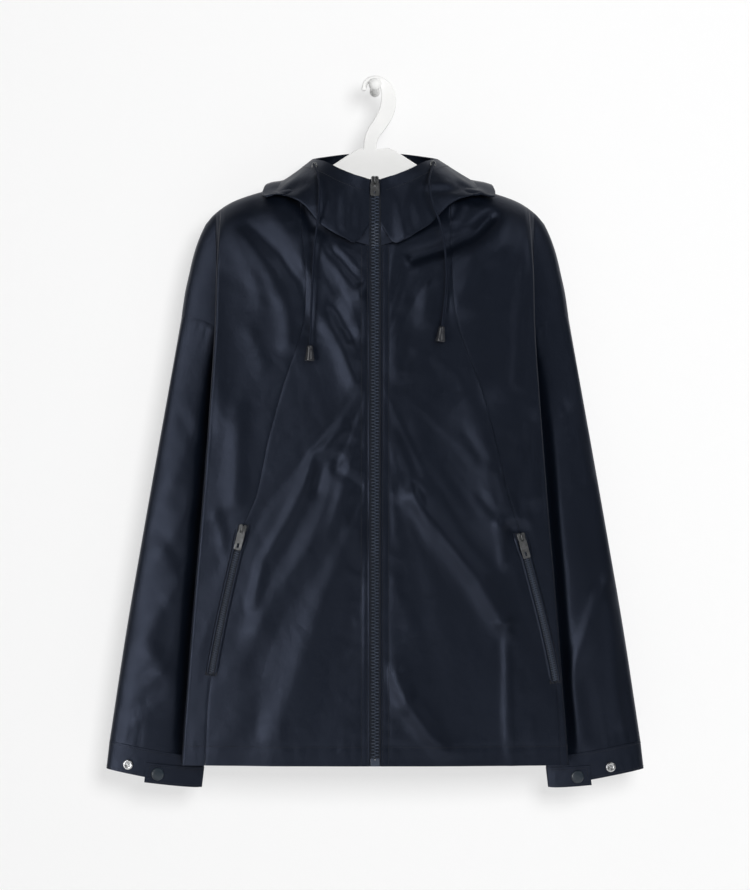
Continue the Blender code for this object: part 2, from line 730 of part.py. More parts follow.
def build_sleeves(fronts, backs):
    """Makes each sleeve, its cuff, the cuff's tab and its snap."""
    for side in SIDES:
        flip = side.sign < 0
        sleeve = sleeve_grid(side, fronts[side.name][0], backs[side.name])
        wall("sleeve_" + side.name, sleeve, normals_of(sleeve, flip, True), "nylon", flip, True)
        cuff = cuff_grid(side)
        normals = normals_of(cuff, flip, True)
        wall("cuff_" + side.name, cuff, normals, "nylon", flip, True)
        shares = (TAB_TOP_SHARE, TAB_BOTTOM_SHARE)
        columns = [side.tab_end] + list(range(int(side.tab_end) + 1, int(TAB_FOOT) + 1)) + [TAB_FOOT]
        tilts = [TAB_TILT * (TAB_FOOT - c) / (TAB_FOOT - side.tab_end) for c in columns]
        places = [[((share + tilt) * CUFF_ROWS, c) for c, tilt in zip(columns, tilts)] for share in shares]
        tab = [[on_grid(cuff, row, c) for row, c in line] for line in places]
        tab_normals = [[on_grid(normals, row, c) for row, c in line] for line in places]
        wall("cuff_tab_" + side.name, tab, tab_normals, "nylon", flip, lift=CLOTH + LIFT)
        cap_row = CAP_SHARE * CUFF_ROWS
        cap_normal = on_grid(normals, cap_row, side.cap).normalized()
        cap = turned("snap_cap_" + side.name, SNAP_CAP_PROFILE, "snap_cap", SNAP_STEPS)
        seat(cap, on_grid(cuff, cap_row, side.cap) + cap_normal * (CLOTH + 2.0 * LIFT), cap_normal)
        socket_row = SOCKET_SHARE * CUFF_ROWS
        socket_normal = on_grid(normals, socket_row, side.socket).normalized()
        socket = turned("snap_socket_" + side.name, SOCKET_PROFILE, "snap_metal", SNAP_STEPS, ring=True)
        seat(socket, on_grid(cuff, socket_row, side.socket) + socket_normal * LIFT, socket_normal)


# Hood

def neck_edge(front, back):
    """Lists the neck seam's points with their place, from the zip to the middle of the back."""
    edge = [(k / CENTRE_COLUMNS, front[-1][k]) for k in range(CENTRE_COLUMNS + 1)]
    count = BACK_COLUMNS[0]
    edge[-1] = (1.0, (front[-1][CENTRE_COLUMNS] + back[-1][count]) / 2.0)
    for k in range(count - 1, -1, -1):
        edge.append((2.0 - k / count, back[-1][k]))
    return edge


def on_edge(edge, place):
    """Finds a point on the neck seam at a place round the neck."""
    for (low, a), (high, b) in zip(edge, edge[1:]):
        if place <= high:
            return mix(a, b, (place - low) / (high - low))
    return edge[-1][1]


def hood_reach(side, place):
    """Widens one side's wing over the shoulder."""
    return mix(1.0, side.hood_reach, math.exp(-((place - WING_PLACE) / WING_SPREAD) ** 2))


def hood_profile(side, edge, place):
    """Makes one line of the hood from the neck seam over its fold to the rim."""
    reach = hood_reach(side, place)
    fold = Vector((side.sign * along(HOOD_PLACES, place, "fold_x") * reach,
                   along(HOOD_PLACES, place, "fold_y"), along(HOOD_PLACES, place, "fold_z")))
    rim = Vector((side.sign * along(HOOD_PLACES, place, "rim_x"),
                  along(HOOD_PLACES, place, "rim_y"), along(HOOD_PLACES, place, "rim_z")))
    neck = on_edge(edge, place)
    if place >= 2.0:
        neck.x = fold.x = rim.x = side.sign * SEAM_GAP / 2.0
    neck = neck + Vector((0.0, 0.0, HOOD_LIFT))
    puff = along(HOOD_PLACES, place, "puff")
    outward = ((neck - fold).normalized() + (rim - fold).normalized())
    across = (rim - neck)
    across = (across - across.project(outward)).normalized()
    lean = STAND_LEAN * clamp(abs(place - 1.0) / LEAN_SPREAD)
    stand = Vector((0.0, lean if place > 1.0 else -lean, 1.0)) * along(HOOD_PLACES, place, "stand")
    guides = (
        neck,
        neck + stand,
        mix(neck, fold, RISE_SHARE) + stand * RISE_SHARE,
        mix(neck, fold, UNDER_SHARE) - across * puff * UNDER_PUFF,
        fold,
        mix(rim, fold, OVER_SHARE) + across * puff,
        mix(rim, fold, RIM_SHARE) + across * puff * RIM_PUFF,
        rim,
    )
    return [spline(guides, k / HOOD_STEPS) for k in range(HOOD_STEPS + 1)]


def spline(points, share):
    """Reads a smooth curve through points at a share of its run."""
    place = share * (len(points) - 1)
    i = min(int(place), len(points) - 2)
    t = place - i
    before = points[max(i - 1, 0)]
    after = points[min(i + 2, len(points) - 1)]
    a, b = points[i], points[i + 1]
    return (a * (2 - 5 * t * t + 3 * t ** 3) + b * (t + 4 * t * t - 3 * t ** 3)
            + before * (-t + 2 * t * t - t ** 3) + after * (t ** 3 - t * t)) / 2.0


def hood_stations():
    """Lists the places of the hood's lines, closer together on the wings."""
    front = [k / CENTRE_COLUMNS for k in range(CENTRE_COLUMNS + 1)]
    low, middle, high = WING_STEPS
    wings = [mix(front[-3], front[-2], middle)] + [mix(front[-2], front[-1], share) for share in (low, high)]
    count = BACK_COLUMNS[0]
    back = [1.0 + (k + 1) / count for k in range(count)] + [1.0 + NAPE_STEP / count]
    return sorted(front + wings + back)


def build_hood(fronts, backs):
    """Makes the hood's two halves and keeps their grids."""
    hoods = {}
    for side in SIDES:
        edge = neck_edge(fronts[side.name][0], backs[side.name])
        lines = [hood_profile(side, edge, place) for place in hood_stations()]
        grid = [[line[step] for line in lines] for step in range(HOOD_STEPS + 1)]
        flip = side.sign < 0
        normals = normals_of(grid, flip)
        for row in normals:
            row[-1] = Vector((0.0, row[-1].y, row[-1].z)).normalized()
        wall("hood_" + side.name, grid, normals, "nylon", flip)
        hoods[side.name] = (grid, normals)
    return hoods


# Zips

def zip_rows(fronts, hoods, side):
    """Lists the front edge from hem to hood rim, as pairs of edge point and point further in."""
    front, front_normals = fronts[side.name]
    hood, hood_normals = hoods[side.name]
    rows = [(row[0], row[1], normal[0]) for row, normal in zip(front, front_normals)]
    return rows + [(row[0], row[1], normal[0]) for row, normal in zip(hood, hood_normals)]


def build_main_zip(fronts, hoods):
    """Makes the two tapes behind the front edges and the row of teeth between them."""
    for side in SIDES:
        grid = []
        normals = []
        for edge, further, normal in zip_rows(fronts, hoods, side):
            straight = Vector((0.0, normal.y, normal.z)).normalized()
            middle = Vector((side.sign * TAPE_MEET, edge.y, edge.z))
            outer = edge + (further - edge) * (TAPE_HALF_WIDTH - ZIP_EDGE) / (further - edge).length
            grid.append([middle, edge, outer])
            normals.append([straight] * 3)
        wall("zip_tape_" + side.name, grid, normals, "zip_tape", side.sign < 0,
             lift=-CLOTH - LIFT, thickness=TAPE)
    grid = []
    normals = []
    rows = [zip_rows(fronts, hoods, side) for side in SIDES]
    for left, right in zip(*rows):
        middle = (left[0] + right[0]) / 2.0
        straight = left[2] + right[2]
        normals.append([Vector((0.0, straight.y, straight.z)).normalized()] * 2)
        grid.append([Vector((s * CHAIN_HALF_WIDTH, middle.y, middle.z)) for s in (-1, 1)])
    chain_rows = len(grid) - 2
    wall("zip_chain", grid[:chain_rows], normals[:chain_rows], "zip_teeth", False,
         lift=CHAIN_RISE, thickness=CLOTH + LIFT + CHAIN_RISE - SEAM_GAP)
    return grid, normals


def slider_mesh():
    """Makes a zip slider: a plate with two rounded lobes at the top and an arch for the pull."""
    foot = SLIDER_HALF_WIDTH * SLIDER_FOOT_SHARE
    waist = SLIDER_HALF_WIDTH * SLIDER_WAIST_SHARE
    outline = [(-foot, SLIDER_BOTTOM), (foot, SLIDER_BOTTOM), (waist, 0.0)]
    lobe = SLIDER_HALF_WIDTH / 2.0
    for centre in (lobe, -lobe):
        for k in range(LOBE_STEPS + 1):
            angle = math.pi * k / LOBE_STEPS
            outline.append((centre + lobe * math.cos(angle), SLIDER_TOP - lobe + lobe * math.sin(angle)))
    outline.append((-waist, 0.0))
    plate = flat_outline("slider_plate", (outline,), SLIDER_THICKNESS)
    bpy.data.meshes[plate].transform(Matrix.Translation((0.0, -SLIDER_THICKNESS / 2.0 * MM, 0.0)))
    arch = [(0.0, -point.rise, point.height) for point in ARCH_LINE]
    bar = tube("slider_arch", arch, ARCH_RADIUS, None, len(arch))
    return joined_mesh("zip_slider", plate, bar)


def pull_mesh(name, size):
    """Makes a pull tab with an eye for the arch and a slot near its foot; its hinge is the origin."""
    half = size.width / 2.0
    top = PULL_THICKNESS / 2.0
    foot = top - size.length
    right = [(PULL_NECK_HALF_WIDTH, top), (half, -PULL_SHOULDER), (half, foot + PULL_CORNER),
             (half - PULL_CORNER, foot)]
    outline = right + [(-x, z) for x, z in right[::-1]]
    eye = rectangle(EYE_HALF_WIDTH, -top, -EYE_FOOT)
    slot = rectangle(SLOT_HALF_WIDTH, foot + size.length * SLOT_SHARE, foot + SLOT_EDGE)
    return flat_outline(name, (outline, eye, slot), PULL_THICKNESS)


def rectangle(half_width, top, foot):
    """Lists the corners of a rectangular hole."""
    return [(-half_width, top), (-half_width, foot), (half_width, foot), (half_width, top)]


def frame_at(point, down, normal):
    """Makes a placing matrix: local Z up along the zip, local -Y out of the cloth."""
    up = -down.normalized()
    out = (normal - up * normal.dot(up)).normalized()
    across = up.cross(out)
    turn = Matrix((across, -out, up)).transposed().to_4x4()
    return Matrix.Translation(point * MM) @ turn


def place_slider(name, pull_name, frame, slider, pull):
    """Sets a slider on its tape and hangs its pull on the arch."""
    body = add_piece(name, bpy.data.meshes[slider], "gunmetal")
    body.matrix_world = frame
    tab = add_piece(pull_name, bpy.data.meshes[pull], "gunmetal")
    tab.matrix_world = frame @ Matrix.Translation((0.0, -HINGE_RISE * MM, HINGE_HEIGHT * MM))


def build_sliders(fronts, zip_grid, zip_normals):
    """Makes the main slider and each pocket's tape, teeth and slider."""
    slider = slider_mesh()
    main_pull = pull_mesh("main_pull", MAIN_PULL)
    pocket_pull = pull_mesh("pocket_pull", POCKET_PULL)
    top = (zip_grid[-1][0] + zip_grid[-1][1]) / 2.0
    below = (zip_grid[-4][0] + zip_grid[-4][1]) / 2.0
    down = (below - top).normalized()
    normal = zip_normals[-1][0]
    seat_point = top + down * MAIN_SLIDER_DROP - normal * MAIN_SLIDER_SINK
    place_slider("zip_slider", "zip_pull", frame_at(seat_point, down, normal), slider, main_pull)
    for side in SIDES:
        grid, normals = fronts[side.name]
        first = sum(FRONT_ROWS[:1])
        last = sum(FRONT_ROWS[:2])
        tape = []
        tape_normals = []
        chain = []
        for row in range(first, last + 1):
            seam = grid[row][CENTRE_COLUMNS]
            inward = (grid[row][CENTRE_COLUMNS - 1] - seam).normalized() * POCKET_TAPE_HALF_WIDTH
            outward = (grid[row][CENTRE_COLUMNS + 1] - seam)
            outward = outward.normalized() * min(POCKET_TAPE_HALF_WIDTH, outward.length)
            tape.append([seam + inward, seam, seam + outward])
            tape_normals.append([normals[row][CENTRE_COLUMNS]] * 3)
            share = POCKET_CHAIN_HALF_WIDTH / POCKET_TAPE_HALF_WIDTH
            chain.append([seam + inward * share, seam, seam + outward * share])
        flip = side.sign < 0
        wall("pocket_tape_" + side.name, tape, tape_normals, "zip_tape", flip,
             lift=LIFT + TAPE, thickness=TAPE)
        down = (chain[-2][1] - chain[-1][1]).normalized()
        clear = SLIDER_TOP - SLIDER_BOTTOM + SLIDER_CLEARANCE
        for k in range(3):
            run = chain[-2][k] - chain[-1][k]
            chain[-1][k] = chain[-1][k] + run.normalized() * clear
        wall("pocket_chain_" + side.name, chain, tape_normals, "zip_teeth", flip,
             lift=LIFT + TAPE + SEAM_GAP + CHAIN_RISE, thickness=CHAIN_RISE)
        normal = tape_normals[-1][0]
        seat_point = grid[last][CENTRE_COLUMNS] + down * SLIDER_TOP + normal * (2.0 * LIFT + TAPE + SEAM_GAP)
        place_slider("pocket_slider_" + side.name, "pocket_pull_" + side.name,
                     frame_at(seat_point, down, normal), slider, pocket_pull)


# Turned pieces, tubes and flat outlines

Turn = namedtuple("Turn", "radius height")
SNAP_CAP_PROFILE = (Turn(0, 2.4), Turn(4.5, 2.3), Turn(6.8, 1.7), Turn(7.8, 0.7), Turn(7.8, 0.0), Turn(0, 0))
SOCKET_PROFILE = (Turn(3.2, 2.2), Turn(5.0, 2.4), Turn(6.2, 1.2), Turn(6.2, 0.0), Turn(2.2, 0.0),
                  Turn(2.2, 1.2))
EYELET_PROFILE = (Turn(2.4, 1.0), Turn(3.6, 1.1), Turn(4.4, 0.5), Turn(4.4, 0.0), Turn(2.0, 0.0),
                  Turn(2.0, 0.6))
CORD_END_PROFILE = (
    Turn(0, 0),
    Turn(2.6, 0.0),
    Turn(3.7, -1.2),
    Turn(4.2, -6.0),
    Turn(5.6, -14.0),
    Turn(6.2, -17.0),
    Turn(5.6, -CORD_END_LENGTH),
    Turn(0, -CORD_END_LENGTH),
)
PEG_PROFILE = (
    Turn(0, PEG_LENGTH),
    Turn(3.6, PEG_LENGTH - 1.0),
    Turn(6.4, PEG_LENGTH - 3.6),
    Turn(KNOB_RADIUS, PEG_LENGTH - 7.8),
    Turn(6.4, PEG_LENGTH - 12.0),
    Turn(4.4, PEG_LENGTH - 14.4),
    Turn(STEM_RADIUS, PEG_LENGTH - 17.0),
    Turn(STEM_RADIUS, 5.0),
    Turn(5.8, 4.0),
    Turn(6.5, 3.0),
    Turn(6.5, 0.0),
    Turn(0, 0),
)


def turned(name, profile, finish, steps, ring=False):
    """Turns a profile round its axis; a ring's profile closes on itself."""
    points = [Vector((radius, 0.0, height)) * MM for radius, height in profile]
    edges = [(k, k + 1) for k in range(len(points) - 1)]
    if ring:
        edges.append((len(points) - 1, 0))
    mesh = bpy.data.meshes.new(name)
    mesh.from_pydata(points, edges, [])
    piece = add_piece(name, mesh, finish)
    screw = piece.modifiers.new("turn", "SCREW")
    screw.steps = steps
    screw.render_steps = steps
    screw.use_merge_vertices = True
    screw.merge_threshold = 0.00001
    screw.use_smooth_shade = True
    return piece


def seat(piece, point, normal):
    """Stands a turned piece on a point with its axis along a direction."""
    turn = normal.to_track_quat("Z", "Y").to_matrix().to_4x4()
    piece.matrix_world = Matrix.Translation(point * MM) @ turn


def evaluated_mesh(curve_object, name):
    """Makes a welded mesh from a curve object and removes the curve."""
    graph = bpy.context.evaluated_depsgraph_get()
    mesh = bpy.data.meshes.new_from_object(curve_object.evaluated_get(graph))
    mesh.transform(curve_object.matrix_world)
    mesh.name = name
    work = bmesh.new()
    work.from_mesh(mesh)
    bmesh.ops.remove_doubles(work, verts=work.verts, dist=0.000002)
    bmesh.ops.recalc_face_normals(work, faces=work.faces)
    work.to_mesh(mesh)
    work.free()
    bpy.data.objects.remove(curve_object)
    return mesh


def flat_outline(name, outlines, thickness):
    """Makes a plate that stands in the XZ plane from an outline and the holes in it."""
    curve = bpy.data.curves.new(name, "CURVE")
    curve.dimensions = "2D"
    curve.fill_mode = "BOTH"
    curve.extrude = thickness / 2.0 * MM
    for outline in outlines:
        line = curve.splines.new("POLY")
        line.points.add(len(outline) - 1)
        for point, (x, z) in zip(line.points, outline):
            point.co = (x * MM, z * MM, 0.0, 1.0)
        line.use_cyclic_u = True
    plate = bpy.data.objects.new(name, curve)
    plate.rotation_euler = (math.pi / 2.0, 0.0, 0.0)
    PARTS.objects.link(plate)
    bpy.context.view_layer.update()
    return evaluated_mesh(plate, name).name


def tube(name, route, radius, finish, count):
    """Makes a round tube through a smooth curve of count points along a route."""
    guides = [Vector(point) for point in route]
    curve = bpy.data.curves.new(name, "CURVE")
    curve.dimensions = "3D"
    curve.bevel_depth = radius * MM
    curve.bevel_resolution = 2
    curve.use_fill_caps = True
    line = curve.splines.new("POLY")
    line.points.add(count - 1)
    for k, point in enumerate(line.points):
        point.co = (*(spline(guides, k / (count - 1)) * MM), 1.0)
    piece = bpy.data.objects.new(name, curve)
    PARTS.objects.link(piece)
    if finish is None:
        bpy.context.view_layer.update()
        return evaluated_mesh(piece, name).name
    piece.data.materials.append(material(finish))
    return piece


def joined_mesh(name, first, second):
    """Joins two overlapping meshes into one solid."""
    base = bpy.data.objects.new(name, bpy.data.meshes[first])
    other = bpy.data.objects.new(name + "_joined", bpy.data.meshes[second])
    PARTS.objects.link(base)
    PARTS.objects.link(other)
    union = base.modifiers.new("union", "BOOLEAN")
    union.operation = "UNION"
    union.object = other
    bpy.context.view_layer.update()
    graph = bpy.context.evaluated_depsgraph_get()
    mesh = bpy.data.meshes.new_from_object(base.evaluated_get(graph))
    mesh.name = name
    for piece in (base, other):
        bpy.data.objects.remove(piece)
    return mesh.name


# Drawcords

def build_cords(hoods):
    """Makes each side's eyelet, drawcord and bell-shaped cord end."""
    for side in SIDES:
        spot, normal = hood_spot(*hoods[side.name], EYELETS[side.name])
        eyelet = turned("eyelet_" + side.name, EYELET_PROFILE, "gunmetal", TURN_STEPS, ring=True)
        seat(eyelet, spot + normal * LIFT, normal)
        route = [spot + normal * CORD_RISE] + [Vector(point) for point in CORD_ROUTES[side.name]]
        length = sum((b - a).length for a, b in zip(route, route[1:]))
        tube("cord_" + side.name, route, CORD_RADIUS, "cord", int(length / CORD_STEP))
        down = (route[-1] - route[-2]).normalized()
        end = turned("cord_end_" + side.name, CORD_END_PROFILE, "cord_end", TURN_STEPS)
        seat(end, route[-1] + down * SEAM_GAP, -down)


def hood_spot(grid, normals, seen):
    """Finds the point of a hood's upper layer that is seen at a place, and its direction."""
    low = HOOD_STEPS * UPPER_LAYER
    high = HOOD_STEPS - RIM_MARGIN
    count = SPOT_STEPS * HOOD_STEPS
    rows = [mix(low, high, k / count) for k in range(count + 1)]
    columns = [k / SPOT_STEPS for k in range(SPOT_STEPS * (CENTRE_COLUMNS + len(WING_STEPS)))]
    spots = [(on_grid(grid, r, c), on_grid(normals, r, c)) for r in rows for c in columns]
    spot, normal = min(spots, key=lambda pair: math.hypot(pair[0].x - seen.x, pair[0].z - seen.z))
    return spot, normal.normalized()


# Hanger and peg

HookPoint = namedtuple("HookPoint", "x height half_width")
HOOK_LINE = (
    HookPoint(-6.0, -78.0, 8.0),
    HookPoint(-5.5, -68.0, 8.0),
    HookPoint(-1.5, -57.0, 8.4),
    HookPoint(7.0, -45.0, 9.0),
    HookPoint(14.5, -30.0, 9.4),
    HookPoint(16.5, -15.0, 9.0),
    HookPoint(12.6, -1.0, 6.8),
    HookPoint(4.0, 7.3, 4.2),
    HookPoint(-5.0, 7.6, 3.4),
    HookPoint(-11.5, 3.0, 3.0),
    HookPoint(-13.5, -4.0, 2.8),
)
HOOK_STEPS = 28
TIP_STEPS = 6
ARM_TOP = (TopPoint(16.0, -75.5), TopPoint(26.0, -80.0), TopPoint(52.0, -97.0), TopPoint(91.0, -123.0))
ARM_UNDER = (TopPoint(182.0, -176.0), TopPoint(150.0, -166.0), TopPoint(95.0, -156.0), TopPoint(45.0, -146.0),
             TopPoint(0.0, -140.0))


def hanger_outline():
    """Lists the hanger's outline: hook, right arm, underside, left arm."""
    guides = [Vector(point) for point in HOOK_LINE]
    stations = [spline(guides, k / HOOK_STEPS) for k in range(HOOK_STEPS + 1)]
    line = [Vector((station.x, station.y)) for station in stations]
    left = []
    right = []
    for k, point in enumerate(line):
        ahead = line[min(k + 1, HOOK_STEPS)] - line[max(k - 1, 0)]
        across = Vector((ahead.y, -ahead.x)).normalized() * stations[k].z
        right.append(point + across)
        left.append(point - across)
    end = line[-1] + (line[-1] - line[-3]).normalized() * stations[-1].z
    tip = [spline((left[-1], end, right[-1]), k / TIP_STEPS) for k in range(TIP_STEPS - 1, 0, -1)]
    hook = [(p.x, p.y) for p in right + tip + left[::-1]]
    arm = list(ARM_TOP) + arm_top()
    under = list(ARM_UNDER)
    right_side = arm + under[:-1]
    left_side = [(-x, z) for x, z in right_side]
    return hook[1:-1] + left_side + [under[-1]] + right_side[::-1]


def arm_top():
    """Lists the points along an arm's top, just under the shoulder's cloth."""
    points = []
    count = FRONT.columns[1]
    for k in range(count):
        column = 1.0 + (k + 1) / count
        half_width = between(SHOULDER_SPREAD, column, "half_width")
        points.append((half_width, column_top(FRONT, column) - HANGER_DROP))
    return points


def build_hanger():
    """Makes the one-piece hanger and the peg that carries it."""
    mesh = flat_outline("hanger_plate", (hanger_outline(),), 2.0 * HANGER_HALF_THICKNESS)
    hanger = add_piece("hanger", bpy.data.meshes[mesh], "white_plastic")
    hanger.location.y = HANG_PLANE * MM
    peg = turned("wall_peg", PEG_PROFILE, "white_plastic", PEG_STEPS)
    peg.rotation_euler.x = math.pi / 2.0


# Scene

def material(finish):
    """Makes a finish's material once and gives it back."""
    existing = bpy.data.materials.get(finish)
    if existing:
        return existing
    values = FINISHES[finish]
    made = bpy.data.materials.new(finish)
    made.use_nodes = True
    shader = made.node_tree.nodes["Principled BSDF"]
    shader.inputs["Base Color"].default_value = (*values.colour, 1.0)
    shader.inputs["Roughness"].default_value = values.roughness
    shader.inputs["Metallic"].default_value = values.metallic
    return made


def mesh_from(work, name):
    """Turns a bmesh into a mesh."""
    mesh = bpy.data.meshes.new(name)
    work.to_mesh(mesh)
    work.free()
    mesh.shade_smooth()
    return mesh


def add_piece(name, mesh, finish):
    """Adds one named piece of the jacket with its finish."""
    if not mesh.materials:
        mesh.materials.append(material(finish))
    piece = bpy.data.objects.new(name, mesh)
    PARTS.objects.link(piece)
    return piece


def clear_scene():
    """Removes the scene's objects."""
    for item in list(bpy.data.objects):
        bpy.data.objects.remove(item)


clear_scene()
PARTS = bpy.data.collections.new("nylon_jacket")
bpy.context.scene.collection.children.link(PARTS)


def main():
    """Makes every piece of the jacket, then what it hangs on."""
    fronts = build_fronts()
    backs = build_back()
    build_sleeves(fronts, backs)
    hoods = build_hood(fronts, backs)
    zip_grid, zip_normals = build_main_zip(fronts, hoods)
    build_sliders(fronts, zip_grid, zip_normals)
    build_cords(hoods)
    build_hanger()


main()
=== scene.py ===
"""Looks of a hooded nylon jacket that hangs on a plain hanger from a wall peg.

Tables and sizes are in millimetres, meshes in metres.
X runs to the right as seen from the front, Y from the front to the wall, Z up.
Pieces ending in _l are on the left as seen from the front.
"""

from __future__ import annotations

import logging
import math
from dataclasses import dataclass, field
from enum import Enum
from typing import Iterable, Mapping, Optional, Sequence, Union

import bpy
import numpy as np
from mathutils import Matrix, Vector

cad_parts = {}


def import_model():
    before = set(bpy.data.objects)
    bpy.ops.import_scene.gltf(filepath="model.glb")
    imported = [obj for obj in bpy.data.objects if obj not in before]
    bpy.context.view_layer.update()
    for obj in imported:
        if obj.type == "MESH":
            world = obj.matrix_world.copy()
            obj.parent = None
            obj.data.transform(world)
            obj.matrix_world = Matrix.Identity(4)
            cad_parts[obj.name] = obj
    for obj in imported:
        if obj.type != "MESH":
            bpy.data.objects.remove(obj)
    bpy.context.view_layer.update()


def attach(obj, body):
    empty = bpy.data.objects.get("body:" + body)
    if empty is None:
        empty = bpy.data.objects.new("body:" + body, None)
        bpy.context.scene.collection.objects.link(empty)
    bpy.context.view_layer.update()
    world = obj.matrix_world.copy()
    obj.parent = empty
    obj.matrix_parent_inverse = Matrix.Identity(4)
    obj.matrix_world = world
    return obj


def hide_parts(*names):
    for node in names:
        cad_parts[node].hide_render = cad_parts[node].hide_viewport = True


LOG = logging.getLogger("nylon_jacket")
MM = 0.001

Array = np.ndarray
Triple = tuple[float, float, float]
Colour = Triple
Profile = Sequence[tuple[float, float]]
Faces = list[tuple[int, ...]]
Number = Union[float, Array]
Shape = tuple[Array, Faces]

DOWN = np.array((0.0, 0.0, -1.0))
TO_FRONT = np.array((0.0, -1.0, 0.0))


class Ride(Enum):
    """The bodies that pieces move with."""

    JACKET = "jacket"
    MAIN_PULL = "main_pull"
    LEFT_PULL = "left_pocket_pull"
    RIGHT_PULL = "right_pocket_pull"


class Slot(Enum):
    """The record's material slots."""

    NYLON = "nylon"
    ZIP_TAPE = "zip_tape"
    ZIP_TEETH = "zip_teeth"
    GUNMETAL = "gunmetal"
    SNAP_CAP = "snap_cap"
    SNAP_METAL = "snap_metal"
    CORD = "cord"
    CORD_END = "cord_end"
    WHITE_PLASTIC = "white_plastic"


class Held(Enum):
    """How a sheet of cloth is held."""

    HUNG = "hung"
    GATHERED = "gathered"
    FOLDED = "folded"
    STRETCHED = "stretched"


# Numbers, curves and folds


def mix(low: Number, high: Number, share: Number) -> Number:
    """Goes from low to high by a share."""
    return low + (high - low) * share


def unit(vectors: Array) -> Array:
    """Gives directions of length 1."""
    length = np.linalg.norm(vectors, axis=-1, keepdims=True)
    return vectors / np.maximum(length, 1e-9)


def stacked(x: Number, y: Number, z: Number) -> Array:
    """Joins coordinates into points."""
    return np.stack(np.broadcast_arrays(x, y, z), axis=-1).astype(float)


def clamp(share: Number) -> Array:
    """Keeps a share between 0 and 1."""
    return np.clip(share, 0.0, 1.0)


def hump(offset: Number, width: float) -> Array:
    """Gives a smooth hump: 1 at no offset, near 0 past twice the width."""
    return np.exp(-((offset / width) ** 2))


class Curve:
    """A smooth curve through rows of place and value, level past its ends."""

    def __init__(self, *rows: tuple[float, float]) -> None:
        """Keeps the rows and works out the slope at each.

        Args:
            rows: pairs of place and value, the places rising.
        """
        self.keys, self.values = np.array(rows, dtype=float).T
        steps = np.arange(len(rows))
        before = np.maximum(steps - 1, 0)
        after = np.minimum(steps + 1, len(rows) - 1)
        self.slopes = (self.values[after] - self.values[before]) / (self.keys[after] - self.keys[before])

    def __call__(self, place: Number) -> Array:
        """Reads the curve.

        Args:
            place: one place or many.

        Returns:
            The value at each place.
        """
        place = np.clip(place, self.keys[0], self.keys[-1])
        i = np.clip(np.searchsorted(self.keys, place, side="left") - 1, 0, len(self.keys) - 2)
        span = self.keys[i + 1] - self.keys[i]
        t = (place - self.keys[i]) / span
        rest = 1.0 - t
        level = self.values[i] * (1 + 2 * t) * rest**2 + self.values[i + 1] * (3 - 2 * t) * t**2
        return level + span * (self.slopes[i] * t * rest**2 - self.slopes[i + 1] * rest * t**2)


def curves(*rows: tuple[float, ...]) -> tuple[Curve, ...]:
    """Makes a curve for each column of a table after its first, which holds the places."""
    places, *columns = zip(*rows)
    return tuple(Curve(*zip(places, column)) for column in columns)


class Ripples:
    """A smooth uneven field between -1 and 1, the same on every run."""

    SIZE = 64

    def __init__(self, seed: int) -> None:
        """Fills the field's lattice from a seed."""
        self.lattice = np.random.default_rng(seed).uniform(-1.0, 1.0, (self.SIZE, self.SIZE))

    def __call__(self, across: Number, along: Number) -> Array:
        """Reads the field.

        Args:
            across: place across the field, one lattice cell to a unit.
            along: place along the field.

        Returns:
            The field's value at each place.
        """
        across, along = np.broadcast_arrays(np.asarray(across, float), np.asarray(along, float))
        i = np.floor(across).astype(int)
        j = np.floor(along).astype(int)
        u = self._ease(across - i)
        v = self._ease(along - j)
        low = mix(self._at(i, j), self._at(i + 1, j), u)
        high = mix(self._at(i, j + 1), self._at(i + 1, j + 1), u)
        return mix(low, high, v)

    def _at(self, i: Array, j: Array) -> Array:
        """Reads lattice points, repeating past the edge."""
        return self.lattice[i % self.SIZE, j % self.SIZE]

    @staticmethod
    def _ease(t: Array) -> Array:
        """Eases a share in and out."""
        return t * t * t * (t * (t * 6.0 - 15.0) + 10.0)


@dataclass(frozen=True)
class Fold:
    """A ridge of cloth seen from the front, or a trough where its rise is negative."""

    width: float
    rise: float
    line: tuple[tuple[float, float], ...]

    def height(self, x: Array, z: Array, broad: float) -> Array:
        """Gives the fold's rise at places seen from the front, with its width made broader."""
        nearest = np.full(np.broadcast(x, z).shape, np.inf)
        for (x0, z0), (x1, z1) in zip(self.line, self.line[1:]):
            run_x, run_z = x1 - x0, z1 - z0
            share = clamp(((x - x0) * run_x + (z - z0) * run_z) / (run_x**2 + run_z**2))
            nearest = np.minimum(nearest, (x - x0 - share * run_x) ** 2 + (z - z0 - share * run_z) ** 2)
        return self.rise * np.exp(-nearest / (self.width * broad) ** 2)


def folds(*rows: tuple[float, ...]) -> tuple[Fold, ...]:
    """Reads folds from rows of width, rise, and then x and z of each point on the line."""
    return tuple(Fold(row[0], row[1], tuple(zip(row[2::2], row[3::2]))) for row in rows)


def relief(parts: Iterable[Fold], x: Array, z: Array, broad: float = 1.0) -> Array:
    """Sums folds at places seen from the front."""
    total = np.zeros(np.broadcast(x, z).shape)
    for fold in parts:
        total = total + fold.height(x, z, broad)
    return total


def spline(points: Array, shares: Array) -> Array:
    """Reads a smooth curve through points.

    Args:
        points: the points it passes through, one a row.
        shares: places from 0 to 1 of its run.

    Returns:
        A point for each share.
    """
    place = np.asarray(shares, float) * (len(points) - 1)
    i = np.minimum(place.astype(int), len(points) - 2)
    t = (place - i)[:, None]
    a = points[i]
    b = points[i + 1]
    before = points[np.maximum(i - 1, 0)]
    after = points[np.minimum(i + 2, len(points) - 1)]
    near = a * (2 - 5 * t * t + 3 * t**3) + b * (t + 4 * t * t - 3 * t**3)
    return (near + before * (-t + 2 * t * t - t**3) + after * (t**3 - t * t)) / 2.0


def lengths(points: Array) -> Array:
    """Gives each point's distance along its line."""
    steps = np.linalg.norm(np.diff(points, axis=0), axis=1)
    return np.concatenate(([0.0], np.cumsum(steps)))


